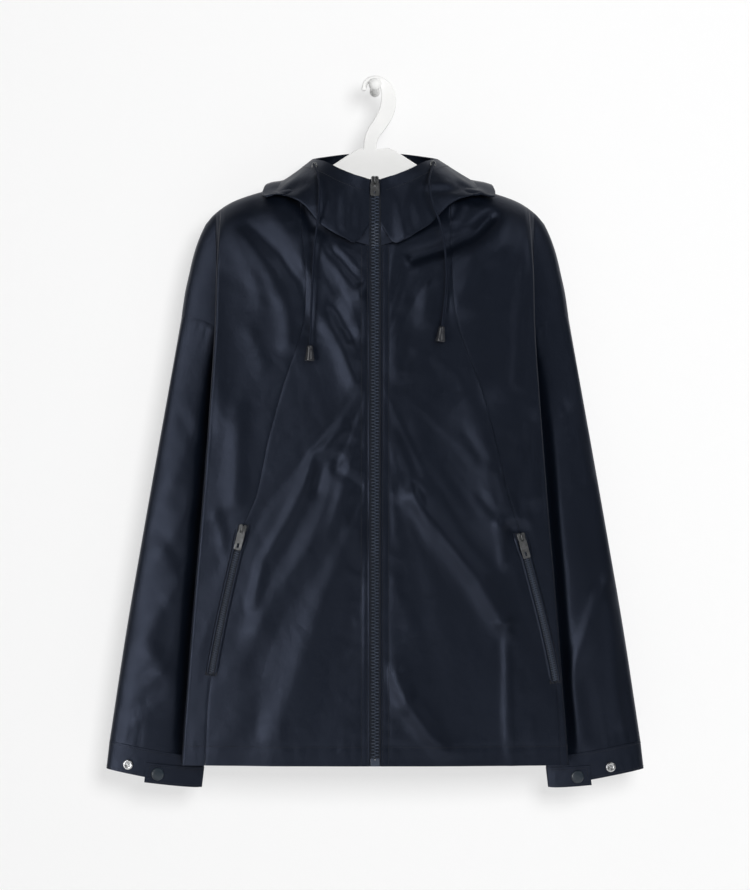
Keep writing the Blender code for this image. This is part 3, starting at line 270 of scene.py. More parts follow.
def read_along(rows: Array, run: Array, places: Array) -> Array:
    """Reads rows of three values, set along a run, at places on it."""
    return np.stack([np.interp(places, run, rows[:, k]) for k in range(3)], axis=1)


def resampled(points: Array, places: Array) -> Array:
    """Reads a line of points at distances along it."""
    return read_along(points, lengths(points), places)


# Shaders


class Sock:
    """A shader socket that is worked with as a number is."""

    def __init__(self, graph: Graph, socket: bpy.types.NodeSocket) -> None:
        """Keeps the socket and the graph that it is in."""
        self.graph = graph
        self.socket = socket

    def _math(self, operation: str, first: Value, second: Value) -> Sock:
        """Adds one Math node."""
        return self.graph.node("ShaderNodeMath", {"operation": operation}, {0: first, 1: second})

    def __add__(self, other: Value) -> Sock:
        """Adds."""
        return self._math("ADD", self, other)

    __radd__ = __add__

    def __sub__(self, other: Value) -> Sock:
        """Takes other away."""
        return self._math("SUBTRACT", self, other)

    def __rsub__(self, other: Value) -> Sock:
        """Takes this away from other."""
        return self._math("SUBTRACT", other, self)

    def __mul__(self, other: Value) -> Sock:
        """Multiplies."""
        return self._math("MULTIPLY", self, other)

    __rmul__ = __mul__

    def highest(self, other: Value) -> Sock:
        """Takes the larger of two."""
        return self._math("MAXIMUM", self, other)

    def step(self, low: float, high: float) -> Sock:
        """Goes smoothly from 0 at low to 1 at high."""
        sockets = {"Value": self, "From Min": low, "From Max": high}
        return self.graph.node("ShaderNodeMapRange", {"interpolation_type": "SMOOTHSTEP"}, sockets)


Value = Union[Sock, float, Sequence[float]]


class Graph:
    """The node tree of one material, with its main shader."""

    def __init__(self, name: str) -> None:
        """Starts a material with one main shader."""
        self.material = bpy.data.materials.new(name)
        self.material.use_nodes = True
        self.tree = self.material.node_tree
        self.shader = self.tree.nodes["Principled BSDF"]

    def node(
        self,
        kind: str,
        settings: Optional[Mapping[str, object]] = None,
        sockets: Optional[Mapping[Union[str, int], Value]] = None,
        output: Union[str, int] = 0,
    ) -> Sock:
        """Adds a node.

        Args:
            kind: the node's type.
            settings: its own settings, set first.
            sockets: values or links of its inputs.
            output: which output is given back.

        Returns:
            The output as a socket to work with.
        """
        made = self.tree.nodes.new(kind)
        for key, value in (settings or {}).items():
            setattr(made, key, value)
        for key, value in (sockets or {}).items():
            if isinstance(value, Sock):
                self.tree.links.new(value.socket, made.inputs[key])
            else:
                made.inputs[key].default_value = value
        return Sock(self, made.outputs[output])

    def blend(self, share: Value, low: Value, high: Value) -> Sock:
        """Mixes two colours by a share."""
        pair = [(*c, 1.0) if not isinstance(c, Sock) else c for c in (low, high)]
        settings = {"data_type": "RGBA"}
        return self.node("ShaderNodeMix", settings, {0: share, 6: pair[0], 7: pair[1]}, output=2)

    def place(self) -> Sock:
        """Gives each point's place on the object, in metres."""
        return self.node("ShaderNodeTexCoord", output="Object")

    def scaled(self, place: Sock, scale: Sequence[float]) -> Sock:
        """Stretches a place by a scale along each axis."""
        return self.node("ShaderNodeVectorMath", {"operation": "MULTIPLY"}, {0: place, 1: tuple(scale)})

    def noise(self, place: Sock, scale: float, detail: float = 2.0, roughness: float = 0.5) -> Sock:
        """Adds an uneven field from 0 to 1."""
        sockets = {"Vector": place, "Scale": scale, "Detail": detail, "Roughness": roughness}
        return self.node("ShaderNodeTexNoise", None, sockets)

    def bump(self, height: Sock, distance: float, strength: float = 1.0) -> None:
        """Feeds a height in metres times distance to the shader's normal."""
        sockets = {"Height": height, "Distance": distance, "Strength": strength}
        self.feed("Normal", self.node("ShaderNodeBump", None, sockets))

    def feed(self, name: str, value: Sock) -> None:
        """Links a socket to the main shader."""
        self.tree.links.new(value.socket, self.shader.inputs[name])

    def fix(self, name: str, value: Union[float, Sequence[float]]) -> None:
        """Sets one value all over on the main shader."""
        self.shader.inputs[name].default_value = value


# Finishes

# Length of one wave, in metres, of a wave texture with a scale of 1
WAVE = 0.314


@dataclass(frozen=True)
class Finish:
    """What a surface looks like; each kind dresses its own graph."""

    name: str
    slot: Optional[Slot]
    colour: Colour
    roughness: float

    def material(self) -> bpy.types.Material:
        """Gives the finish's material, made once."""
        made = bpy.data.materials.get(self.name)
        if made is None:
            graph = Graph(self.name)
            graph.fix("Base Color", (*self.colour, 1.0))
            graph.fix("Roughness", self.roughness)
            self.dress(graph)
            made = graph.material
        return made

    def dress(self, graph: Graph) -> None:
        """Adds what varies over the surface."""

    def lighter(self, by: float) -> Colour:
        """Gives the finish's colour made lighter, white at most."""
        return tuple(min(1.0, c * by) for c in self.colour)


@dataclass(frozen=True)
class Nylon(Finish):
    """Thin woven nylon with a silky sheen and small crinkles."""

    light: Colour = (0.0026, 0.0040, 0.0074)
    sheen: float = 0.008
    sheen_roughness: float = 0.35
    tint: Colour = (0.60, 0.70, 1.0)
    specular: float = 0.5
    thread: float = 0.00055
    slub: Triple = (1400.0, 1400.0, 60.0)
    slub_share: float = 0.3
    gloss_spread: float = 0.16
    crinkle_rise: float = 0.45
    rumple_rise: float = 0.6
    weave_rise: float = 0.03
    bump_depth: float = 0.0011
    bump_strength: float = 0.85

    def dress(self, graph: Graph) -> None:
        """Adds cloudy colour, a plain weave and crinkles."""
        place = graph.place()
        cloud = graph.noise(place, 9.0, 3.0)
        slub = graph.noise(graph.scaled(place, self.slub), 1.0, 1.0)
        tone = cloud.step(0.3, 0.75) * (1.0 - self.slub_share) + slub * self.slub_share
        graph.feed("Base Color", graph.blend(tone, self.colour, self.light))
        crinkle = graph.noise(place, 55.0, 4.0, 0.55)
        graph.feed("Roughness", self.roughness + (crinkle - 0.5) * self.gloss_spread)
        weave = self._threads(graph, place, "X").highest(self._threads(graph, place, "Z"))
        rumple = self._rumple(graph, place) * cloud.step(0.36, 0.62)
        height = crinkle * self.crinkle_rise + rumple * self.rumple_rise + weave * self.weave_rise
        graph.bump(height, self.bump_depth, self.bump_strength)
        graph.fix("Sheen Weight", self.sheen)
        graph.fix("Sheen Roughness", self.sheen_roughness)
        graph.fix("Sheen Tint", (*self.tint, 1.0))
        graph.fix("Specular Tint", (*self.tint, 1.0))
        graph.fix("Specular IOR Level", self.specular)

    def _rumple(self, graph: Graph, place: Sock) -> Sock:
        """Adds the flat facets and sharp little edges that thin nylon takes on."""
        drift = {"Vector": place, "Scale": 16.0, "Detail": 2.0}
        shift = graph.node("ShaderNodeTexNoise", None, drift, output=1)
        moved = {0: shift, 1: (0.06, 0.06, 0.06), 2: graph.scaled(place, (1.0, 1.0, 0.62))}
        bent = graph.node("ShaderNodeVectorMath", {"operation": "MULTIPLY_ADD"}, moved)
        cells = {"Vector": bent, "Scale": 34.0}
        return graph.node("ShaderNodeTexVoronoi", {"feature": "DISTANCE_TO_EDGE"}, cells)

    def _threads(self, graph: Graph, place: Sock, axis: str) -> Sock:
        """Adds threads that lie side by side along one axis."""
        settings = {"wave_type": "BANDS", "bands_direction": axis, "wave_profile": "SIN"}
        sockets = {"Vector": place, "Scale": WAVE / self.thread, "Distortion": 0.15, "Detail": 0.0}
        return graph.node("ShaderNodeTexWave", settings, sockets, output=1)


@dataclass(frozen=True)
class WovenTape(Finish):
    """Close woven polyester tape with fine ribs across it."""

    rib: float = 0.0008

    def dress(self, graph: Graph) -> None:
        """Adds ribs and a little fluff."""
        place = graph.place()
        settings = {"wave_type": "BANDS", "bands_direction": "DIAGONAL", "wave_profile": "TRI"}
        sockets = {"Vector": place, "Scale": WAVE / self.rib, "Distortion": 0.6, "Detail": 1.0}
        rib = graph.node("ShaderNodeTexWave", settings, sockets, output=1)
        fluff = graph.noise(place, 700.0, 2.0)
        graph.feed("Base Color", graph.blend(rib * 0.6 + fluff * 0.4, self.colour, self.lighter(1.7)))
        graph.bump(rib + fluff * 0.5, 0.00025)
        graph.fix("Sheen Weight", 0.05)


@dataclass(frozen=True)
class Moulded(Finish):
    """Moulded plastic with a faint grain."""

    grain: float = 0.00008
    wear: float = 1.35
    coat: float = 0.0

    def dress(self, graph: Graph) -> None:
        """Adds flow marks, grain and uneven gloss."""
        place = graph.place()
        flow = graph.noise(place, 30.0, 3.0)
        grain = graph.noise(place, 900.0, 2.0)
        graph.feed("Base Color", graph.blend(flow.step(0.35, 0.8), self.colour, self.lighter(self.wear)))
        graph.feed("Roughness", self.roughness + (grain - 0.5) * 0.18 + (flow - 0.5) * 0.1)
        graph.bump(grain, self.grain)
        graph.fix("Coat Weight", self.coat)


@dataclass(frozen=True)
class Metal(Finish):
    """Cast or pressed metal, brushed by handling."""

    rubbed: float = 1.9
    grain: float = 0.00006

    def dress(self, graph: Graph) -> None:
        """Adds rubbed patches and fine scratches."""
        place = graph.place()
        rub = graph.noise(place, 160.0, 4.0, 0.6)
        scratch = graph.noise(graph.scaled(place, (900.0, 900.0, 5200.0)), 1.0, 2.0)
        graph.feed("Base Color", graph.blend(rub.step(0.45, 0.8), self.colour, self.lighter(self.rubbed)))
        graph.feed("Roughness", self.roughness + (scratch - 0.5) * 0.22)
        graph.bump(scratch * 0.6 + rub * 0.4, self.grain)
        graph.fix("Metallic", 1.0)


@dataclass(frozen=True)
class Braid(Finish):
    """Braided polyester cord."""

    def dress(self, graph: Graph) -> None:
        """Adds fibres and lighter strand tops."""
        place = graph.place()
        fibre = graph.noise(place, 1500.0, 2.0)
        shade = graph.noise(place, 140.0, 2.0)
        graph.feed("Base Color", graph.blend(fibre * 0.6 + shade * 0.4, self.colour, self.lighter(1.9)))
        graph.bump(fibre, 0.0002)
        graph.fix("Specular Tint", (0.62, 0.72, 1.0, 1.0))
        graph.fix("Specular IOR Level", 0.35)


@dataclass(frozen=True)
class Thread(Finish):
    """Twisted sewing thread."""

    def dress(self, graph: Graph) -> None:
        """Adds the twist's fine light and dark."""
        twist = graph.noise(graph.place(), 2600.0, 1.0)
        graph.feed("Base Color", graph.blend(twist, self.colour, self.lighter(1.8)))
        graph.fix("Sheen Weight", 0.1)


@dataclass(frozen=True)
class Paint(Finish):
    """Matt wall paint, lit from behind to soften the shadows on it."""

    glow: float = 0.64

    def dress(self, graph: Graph) -> None:
        """Adds the glow and a roller's faint texture."""
        graph.bump(graph.noise(graph.place(), 220.0, 3.0), 0.0002, 0.3)
        graph.fix("Emission Color", (1.0, 1.0, 1.0, 1.0))
        graph.fix("Emission Strength", self.glow)
        graph.fix("Specular IOR Level", 0.0)


NYLON = Nylon("navy_nylon", Slot.NYLON, (0.0016, 0.0026, 0.0050), 0.42)
THREAD = Thread("sewing_thread", Slot.NYLON, (0.0040, 0.0055, 0.0095), 0.6)
TAPE = WovenTape("zip_tape_weave", Slot.ZIP_TAPE, (0.006, 0.008, 0.013), 0.8)
TEETH = Moulded("zip_tooth_plastic", Slot.ZIP_TEETH, (0.036, 0.046, 0.068), 0.32, coat=0.2)
GUNMETAL = Metal("gunmetal_cast", Slot.GUNMETAL, (0.20, 0.205, 0.21), 0.38)
SNAP_CAP = Moulded("snap_cap_plastic", Slot.SNAP_CAP, (0.013, 0.020, 0.028), 0.34, coat=0.2)
SNAP_METAL = Metal("snap_plate", Slot.SNAP_METAL, (0.66, 0.67, 0.68), 0.26, rubbed=1.2)
CORD = Braid("drawcord_braid", Slot.CORD, (0.0034, 0.0047, 0.0085), 0.7)
CORD_END = Moulded("cord_end_plastic", Slot.CORD_END, (0.020, 0.021, 0.025), 0.28, coat=0.5)
WHITE = Moulded("white_hanger_plastic", Slot.WHITE_PLASTIC, (0.86, 0.86, 0.85), 0.38, wear=1.05)
WALL = Paint("wall_paint", None, (0.32, 0.32, 0.32), 0.9)
FLOOR = Paint("floor_paint", None, (0.70, 0.70, 0.70), 0.9, glow=0.0)


# Meshes


class MeshMaker:
    """Gathers the points and faces of one piece, in millimetres."""

    SMOOTH_ANGLE = math.radians(48.0)

    def __init__(self, name: str) -> None:
        """Starts an empty mesh."""
        self.name = name
        self.blocks: list[Array] = []
        self.faces: Faces = []
        self.count = 0

    def add(self, points: Array, faces: Iterable[Sequence[int]]) -> None:
        """Adds points and the faces between them."""
        self.faces += [tuple(self.count + i for i in face) for face in faces]
        self.blocks.append(np.asarray(points, float))
        self.count += len(points)

    def put(self, frame: Frame, shape: Shape) -> None:
        """Adds a shape at a place on the jacket."""
        points, faces = shape
        self.add(frame.place(points), faces)

    def repeat(self, points: Array, faces: Faces, centres: Array, axes: Array) -> None:
        """Adds a small shape at many places.

        Args:
            points: the shape's points.
            faces: its faces.
            centres: where each one goes.
            axes: for each place, the three directions that the shape's axes take.
        """
        placed = np.einsum("pk,nkd->npd", points, axes) + centres[:, None, :]
        for block in placed:
            self.add(block, faces)

    def mesh(self, sharp: float = SMOOTH_ANGLE) -> bpy.types.Mesh:
        """Makes the mesh, smooth but for edges sharper than an angle."""
        made = bpy.data.meshes.new(self.name)
        made.from_pydata((np.concatenate(self.blocks) * MM).tolist(), [], self.faces)
        made.validate()
        made.shade_smooth()
        made.set_sharp_from_angle(angle=sharp)
        return made


def link(made: bpy.types.Object) -> None:
    """Puts an object in the scene."""
    bpy.context.scene.collection.objects.link(made)


def show(
    name: str,
    mesh: bpy.types.Mesh,
    finish: Finish,
    nodes: Sequence[str] = (),
    body: Ride = Ride.JACKET,
) -> bpy.types.Object:
    """Adds a piece to the scene.

    Args:
        name: the piece's name.
        mesh: its mesh.
        finish: its finish.
        nodes: the solids that it stands for.
        body: the body that it moves with.

    Returns:
        The piece.
    """
    piece = bpy.data.objects.new(name, mesh)
    mesh.materials.append(finish.material())
    link(piece)
    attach(piece, body.value)
    if nodes:
        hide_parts(*nodes)
    LOG.info("%s: %d faces, %s", name, len(mesh.polygons), finish.name)
    return piece


@dataclass(frozen=True)
class Cut:
    """Flat size of a piece of cloth before it is sewn, in metres."""

    width: float
    length: float
    area: float
    held: Held = Held.HUNG

    def declare(self, piece: bpy.types.Object, rests_on: Sequence[str]) -> None:
        """Does nothing: the piece's cut and what it hangs from are not stated."""


@dataclass
class ClothGrid:
    """Rows and columns of points on the outer face of a piece of cloth."""

    points: Array
    flip: bool
    closed: bool = False
    normals: Optional[Array] = None

    def __post_init__(self) -> None:
        """Works out the cloth's direction at each point, where none is given."""
        if self.normals is None:
            self.normals = self._directions()

    def _directions(self) -> Array:
        """Averages the directions of the cells round each point."""
        p = self.points
        if self.closed:
            p = np.concatenate((p, p[:, :1]), axis=1)
        a, b, c, d = p[:-1, :-1], p[:-1, 1:], p[1:, 1:], p[1:, :-1]
        cells = np.nan_to_num(unit(np.cross(c - a, d - b)))
        total = np.zeros_like(p)
        total[:-1, :-1] += cells
        total[:-1, 1:] += cells
        total[1:, 1:] += cells
        total[1:, :-1] += cells
        if self.closed:
            total[:, 0] += total[:, -1]
            total = total[:, :-1]
        return unit(-total if self.flip else total)

    def pushed(self, rise: Array) -> ClothGrid:
        """Gives the same cloth moved out along its own directions."""
        return ClothGrid(self.points + self.normals * rise[..., None], self.flip, self.closed)

    def columns(self, first: int, last: int) -> ClothGrid:
        """Takes some columns, keeping their directions."""
        taken = slice(first, last + 1)
        return ClothGrid(self.points[:, taken].copy(), self.flip, normals=self.normals[:, taken].copy())

    def drawn_in(self, column: int, towards: int, gap: float) -> None:
        """Draws one edge column in from its seam."""
        self.points[:, column] += unit(self.points[:, towards] - self.points[:, column]) * gap

    def sample(self, rows: Array, columns: Array) -> tuple[Array, Array]:
        """Reads points and directions between the grid's own.

        Args:
            rows: places in rows, fractions allowed.
            columns: places in columns, fractions allowed.

        Returns:
            The points and their directions.
        """
        rows, columns = np.broadcast_arrays(np.asarray(rows, float), np.asarray(columns, float))
        r = np.clip(rows.astype(int), 0, self.points.shape[0] - 2)
        c = np.clip(columns.astype(int), 0, self.points.shape[1] - 2)
        u = (rows - r)[..., None]
        v = (columns - c)[..., None]

        def read(field_: Array) -> Array:
            """Reads one field between four points."""
            low = mix(field_[r, c], field_[r, c + 1], v)
            high = mix(field_[r + 1, c], field_[r + 1, c + 1], v)
            return mix(low, high, u)

        return read(self.points), unit(read(self.normals))

    def wall(self, name: str, thickness: float, lift: float = 0.0) -> bpy.types.Mesh:
        """Makes a closed wall of cloth.

        Args:
            name: the mesh's name.
            thickness: how thick the cloth is.
            lift: how far its outer face is moved out.

        Returns:
            The mesh.
        """
        there = ~np.isnan(self.points[..., 0])
        index = np.full(there.shape, -1)
        index[there] = np.arange(there.sum())
        outer = (self.points + self.normals * lift)[there]
        inner = (self.points + self.normals * (lift - thickness))[there]
        ring = np.concatenate((index, index[:, :1]), axis=1) if self.closed else index
        corners = (ring[:-1, :-1], ring[:-1, 1:], ring[1:, 1:], ring[1:, :-1])
        cells = np.stack(corners, axis=-1).reshape(-1, 4)
        cells = cells[(cells >= 0).all(axis=1)]
        if self.flip:
            cells = cells[:, ::-1]
        count = len(outer)
        edges = {(a, b) for cell in cells.tolist() for a, b in zip(cell, cell[1:] + cell[:1])}
        rim = [(b, a, a + count, b + count) for a, b in edges if (b, a) not in edges]
        maker = MeshMaker(name)
        maker.add(np.concatenate((outer, inner)), cells.tolist())
        maker.faces += [tuple(cell) for cell in (cells[:, ::-1] + count).tolist()] + sorted(rim)
        return maker.mesh()


@dataclass(frozen=True)
class Frame:
    """A place on the jacket: across the zip, out of the cloth and up the zip."""

    origin: Array
    across: Array
    out: Array
    up: Array

    @classmethod
    def on(cls, origin: Array, down: Array, normal: Array) -> Frame:
        """Makes a frame from the way down and the way out of the cloth."""
        up = unit(-down)
        out = unit(normal - up * np.dot(normal, up))
        return cls(origin, np.cross(up, out), out, up)

    def moved(self, across: float, out: float, up: float) -> Frame:
        """Gives the same frame at a place in it."""
        return Frame(self.place(np.array([[across, out, up]]))[0], self.across, self.out, self.up)

    def place(self, points: Array) -> Array:
        """Takes points across, out and up to the jacket."""
        return self.origin + np.asarray(points, float) @ np.stack((self.across, self.out, self.up))


def lathe(profile: Profile, steps: int) -> Shape:
    """Turns a profile round its axis.

    Args:
        profile: pairs of radius and height, from the top down on the outside.
        steps: how many steps make a turn.

    Returns:
        Points as across, out and up with the axis along out, and the faces.
    """
    angles = np.arange(steps) * 2.0 * math.pi / steps
    rows = [stacked(r * np.cos(angles), h, r * np.sin(angles)) for r, h in profile]
    faces: Faces = []
    for low in range(0, (len(profile) - 1) * steps, steps):
        high = low + steps
        faces += [(low + i, high + i, high + (i + 1) % steps, low + (i + 1) % steps) for i in range(steps)]
    return np.concatenate(rows), faces


# A direction that no tube here sets out in
TUBE_SIDE = (0.31, 0.9, 0.12)


def tube(points: Array, radius: Number, sides: int) -> Shape:
    """Makes a round tube with closed ends along a line.

    Args:
        points: the line's points.
        radius: one radius, or one for each point and side.
        sides: how many sides it has.

    Returns:
        Points and faces.
    """
    tangents = unit(np.gradient(points, axis=0))
    side = unit(np.cross(tangents[0], TUBE_SIDE))
    rings = []
    angles = np.arange(sides) * 2.0 * math.pi / sides
    reach = np.broadcast_to(np.asarray(radius, float), (len(points), sides))
    for k, (point, tangent) in enumerate(zip(points, tangents)):
        side = unit(side - tangent * np.dot(side, tangent))
        other = np.cross(tangent, side)
        ring = np.cos(angles)[:, None] * side + np.sin(angles)[:, None] * other
        rings.append(point + ring * reach[k][:, None])
    last = (len(points) - 1) * sides
    faces: Faces = []
    for low in range(0, last, sides):
        high = low + sides
        faces += [(low + i, low + (i + 1) % sides, high + (i + 1) % sides, high + i) for i in range(sides)]
    faces.append(tuple(range(sides - 1, -1, -1)))
    faces.append(tuple(last + i for i in range(sides)))
    return np.concatenate(rings), faces


def plate(
    outlines: Sequence[Profile],
    thickness: float,
    bevel: float,
    bevel_steps: int = 2,
) -> Shape:
    """Makes a flat plate with rounded edges.

    Args:
        outlines: its outline and holes, as pairs of across and up.
        thickness: how thick it is.
        bevel: the radius of its edges.
        bevel_steps: how finely the edges are rounded.

    Returns:
        Points as across, out and up, with its middle at out 0, and the faces.
    """
    curve = bpy.data.curves.new("plate_outline", "CURVE")
    curve.dimensions = "2D"
    curve.fill_mode = "BOTH"
    curve.extrude = thickness / 2.0 - bevel
    curve.bevel_depth = bevel
    curve.bevel_resolution = bevel_steps
    curve.offset = -bevel
    for outline in outlines:
        line = curve.splines.new("POLY")
        line.points.add(len(outline) - 1)
        for point, (across, up) in zip(line.points, outline):
            point.co = (across, up, 0.0, 1.0)
        line.use_cyclic_u = True
    holder = bpy.data.objects.new("plate_outline", curve)
    link(holder)
    bpy.context.view_layer.update()
    graph = bpy.context.evaluated_depsgraph_get()
    mesh = bpy.data.meshes.new_from_object(holder.evaluated_get(graph))
    flat = np.array([vertex.co for vertex in mesh.vertices])
    faces = [tuple(polygon.vertices) for polygon in mesh.polygons]
    bpy.data.objects.remove(holder)
    bpy.data.meshes.remove(mesh)
    bpy.data.curves.remove(curve)
    return stacked(flat[:, 0], flat[:, 2], flat[:, 1]), faces


# Sewing


@dataclass
class Sewing:
    """Rows of stitches, gathered into one piece."""

    name: str
    pitch: float = 3.3
    length: float = 2.5
    radius: float = 0.30
    lift: float = 0.12
    straight: float = 0.62
    maker: MeshMaker = field(init=False)

    FACES = [
        (0, 2, 1), (0, 3, 2), (0, 4, 3), (0, 1, 4),
        (1, 2, 6, 5), (2, 3, 7, 6), (3, 4, 8, 7), (4, 1, 5, 8),
        (9, 5, 6), (9, 6, 7), (9, 7, 8), (9, 8, 5),
    ]

    def __post_init__(self) -> None:
        """Starts with no stitches."""
        self.maker = MeshMaker(self.name)

    def _stitch(self) -> Array:
        """Gives one stitch's points: along, out, across."""
        half = self.length / 2.0
        inner = half * self.straight
        r = self.radius
        ring = [(r, 0.0), (0.0, r), (-r, 0.0), (0.0, -r)]
        first = [(-inner, out, across) for out, across in ring]
        last = [(inner, out, across) for out, across in ring]
        return np.array([(-half, -r, 0.0), *first, *last, (half, -r, 0.0)])

    def row(self, points: Array, normals: Array) -> None:
        """Sews along a line on the cloth.

        Args:
            points: the line's points.
            normals: the way out of the cloth at each.
        """
        run = lengths(points)
        if run[-1] < self.pitch:
            return
        places = np.arange(self.pitch / 2.0, run[-1] - self.pitch / 2.0, self.pitch)
        centres = resampled(points, places)
        tangents = unit(resampled(points, places + 0.5) - resampled(points, places - 0.5))
        outs = read_along(normals, run, places)
        outs = unit(outs - tangents * np.sum(outs * tangents, axis=1, keepdims=True))
        axes = np.stack((tangents, outs, np.cross(tangents, outs)), axis=1)
        self.maker.repeat(self._stitch(), self.FACES, centres + outs * self.lift, axes)

    def tack(self, frame: Frame, width: float, rows: int = 7, gap: float = 0.55) -> None:
        """Sews a bar tack: close short stitches across the end of a zip."""
        for k in range(rows):
            ends = frame.place(np.array([[-width / 2.0, 0.0, k * gap], [width / 2.0, 0.0, k * gap]]))
            line = resampled(ends, np.linspace(0.0, width, 6))
            self.row(line, np.repeat(frame.out[None, :], len(line), axis=0))

    def build(self) -> bpy.types.Object:
        """Adds the stitches to the scene."""
        return show(self.name, self.maker.mesh(), THREAD)


# Body


@dataclass(frozen=True)
class Side:
    """One half of the jacket."""

    name: str
    sign: int
    seam: Curve
    pocket_top: float
    pocket_end: float
    pull: Ride

    @property
    def flip(self) -> bool:
        """Says whether this half's grids run the other way round."""
        return self.sign < 0


LEFT = Side(
    name="l",
    sign=-1,
    seam=Curve(
        (-820, 204), (-716, 197), (-535, 158), (-495, 142),
        (-430, 128), (-371, 112), (-275, 84), (-116, 91),
    ),
    pocket_top=-531.0,
    pocket_end=-712.0,
    pull=Ride.LEFT_PULL,
)
RIGHT = Side(
    name="r",
    sign=1,
    seam=Curve(
        (-820, 223), (-716, 216), (-535, 172), (-495, 159),
        (-430, 144), (-371, 128), (-275, 96), (-116, 91),
    ),
    pocket_top=-541.0,
    pocket_end=-721.0,
    pull=Ride.RIGHT_PULL,
)
SIDES = (LEFT, RIGHT)

# The largest folds
FRONT_FOLDS = folds(
    (14, 3.0, -131, -154, -88, -188, -86, -222),
    (9, -3.2, -155, -172, -114, -209, -90, -240, -83, -277),
    (12, 3.0, -168, -161, -133, -218, -104, -277, -102, -313),
    (9, 1.6, -179, -172, -149, -226, -137, -262),
    (16, 3.0, -206, -250, -196, -330, -186, -400),
    (12, 2.6, -165, -395, -166, -505),
    (14, 4.5, -62, -198, -38, -229, -16, -257),
    (6, -3.0, -50, -203, -19, -240),
    (7, 2.6, -42, -200, -18, -223),
    (8, -3.0, -48, -269, -28, -306),
    (12, 3.5, -56, -290, -44, -313, -24, -360),
    (8, 2.2, -37, -419, -72, -448, -83, -482, -103, -523, -134, -575, -146, -625),
    (8, -2.4, -66, -456, -70, -490),
    (18, 3.8, -28, -466, -42, -502, -73, -553, -108, -595, -128, -628, -136, -655),
    (20, 4.2, -24, -540, -59, -613, -89, -698, -102, -737, -120, -781, -126, -820),
    (8, -8.0, 46, -211, 88, -197, 119, -182, 139, -163),
    (8, 3.0, 25, -197, 77, -172),
    (18, 5.0, 160, -157, 150, -191, 122, -218, 112, -247, 104, -264),
    (9, 2.0, 185, -191, 178, -240, 174, -277, 173, -313, 170, -360),
    (12, 3.0, 64, -250, 60, -284),
    (30, 7.0, 126, -400, 148, -466, 150, -522),
    (12, 3.0, 188, -410, 190, -497),
    (13, 6.5, 47, -497, 88, -552, 124, -596, 152, -646),
    (6, 2.6, 148, -530, 154, -576),
    (6, 3.2, 158, -662, 159, -703, 159, -766, 164, -820),
    (11, 5.5, 26, -710, 38, -744, 66, -781, 82, -802),
)
BACK_FOLDS = folds(
    (16, 3.0, -150, -160, -80, -260),
    (16, 3.0, 146, -165, 92, -290),
    (18, 3.5, -120, -330, -60, -470),
    (18, 3.5, 128, -360, 84, -520),
    (18, 4.0, -40, -440, -75, -640),
    (18, 3.5, 30, -400, 62, -610),
    (18, 4.5, -130, -600, -142, -815),
    (20, 4.0, -28, -620, -20, -815),
    (18, 4.5, 70, -640, 84, -815),
    (16, 4.0, 150, -590, 168, -815),
)
SLEEVE_FOLDS = folds(
    (13, 1.5, -216, -420, -246, -478),
    (13, 1.9, -206, -492, -254, -560),
    (15, 2.2, -232, -600, -280, -672, -236, -736),
    (9, 1.7, -300, -776, -250, -742),
    (10, 3.5, 236, -400, 258, -470),
    (11, 4.8, 276, -606, 236, -718, 248, -798),
    (8, 3.2, 284, -624, 294, -770),
)

# Smaller creases between and on the folds
FRONT_CREASES = folds(
    (5, 1.8, -122, -150, -104, -166),
    (4.5, 1.5, -118, -146, -122, -166),
    (5, -1.6, -108, -150, -97, -170),
    (5, -2.4, -102, -156, -78, -190),
    (5, 1.8, -94, -154, -70, -184),
    (6, 2.0, -34, -322, -18, -372),
    (4, -2.8, -43, -456, -46, -468, -26, -482, -20, -487),
    (5, 1.8, -54, -445, -24, -446),
    (5, 1.8, -18, -515, -32, -542),
    (6, 1.6, -150, -300, -136, -345),
    (6, 2.0, -192, -520, -180, -560),
    (6, -1.6, -138, -760, -140, -820),
    (5, 1.6, -112, -778, -110, -820),
    (5, 1.8, 98, -158, 84, -178),
    (5, -1.8, 112, -150, 100, -172),
    (5, 2.0, 140, -150, 118, -176),
    (6, 2.2, 58, -224, 96, -214),
    (7, 2.4, 54, -322, 40, -348),
    (7, 2.2, 80, -334, 106, -362),
    (6, 2.2, 27, -292, 28, -352),
    (6, 2.0, 24, -425, 42, -460),
    (7, 2.2, 50, -413, 67, -456),
    (5, -1.8, 110, -420, 128, -452),
    (4, 1.8, 150, -468, 158, -512),
    (4, -1.8, 130, -500, 146, -522),
    (4, 1.8, 160, -496, 172, -524),
    (4, 1.6, 180, -500, 184, -530),
    (5, 1.8, 155, -652, 172, -676, 174, -734),
    (6, 2.0, 25, -600, 38, -629, 43, -659),
    (6, 1.8, 42, -712, 36, -742),
    (4, 1.4, 100, -790, 102, -820),
    (4, 1.4, 188, -770, 194, -820),
)
BACK_CREASES = folds(
    (7, -1.8, -118, -150, -96, -214),
    (9, 1.8, 58, -176, 20, -262),
    (8, 1.8, -150, -300, -110, -390),
    (7, -1.8, 100, -450, 76, -560),
    (8, 1.6, -10, -520, -40, -640),
    (8, -2.0, -100, -640, -96, -815),
    (8, 1.8, 112, -680, 118, -815),
)
SLEEVE_CREASES = folds(
    (6, -1.6, -238, -400, -212, -446),
    (7, -1.8, -262, -540, -222, -590),
    (7, -1.6, -250, -640, -262, -700),
    (6, 1.6, -296, -742, -262, -712),
    (7, 1.6, -258, -706, -226, -760),
    (7, 1.6, 228, -420, 246, -500),
    (8, -1.8, 250, -500, 270, -600),
    (6, -1.6, 250, -700, 262, -780),
    (5, -1.4, 298, -700, 304, -780),
)


PUCKER_FOOT = -812.0
PUCKER_TOP = -205.0
ZIP_EDGE = 7.0


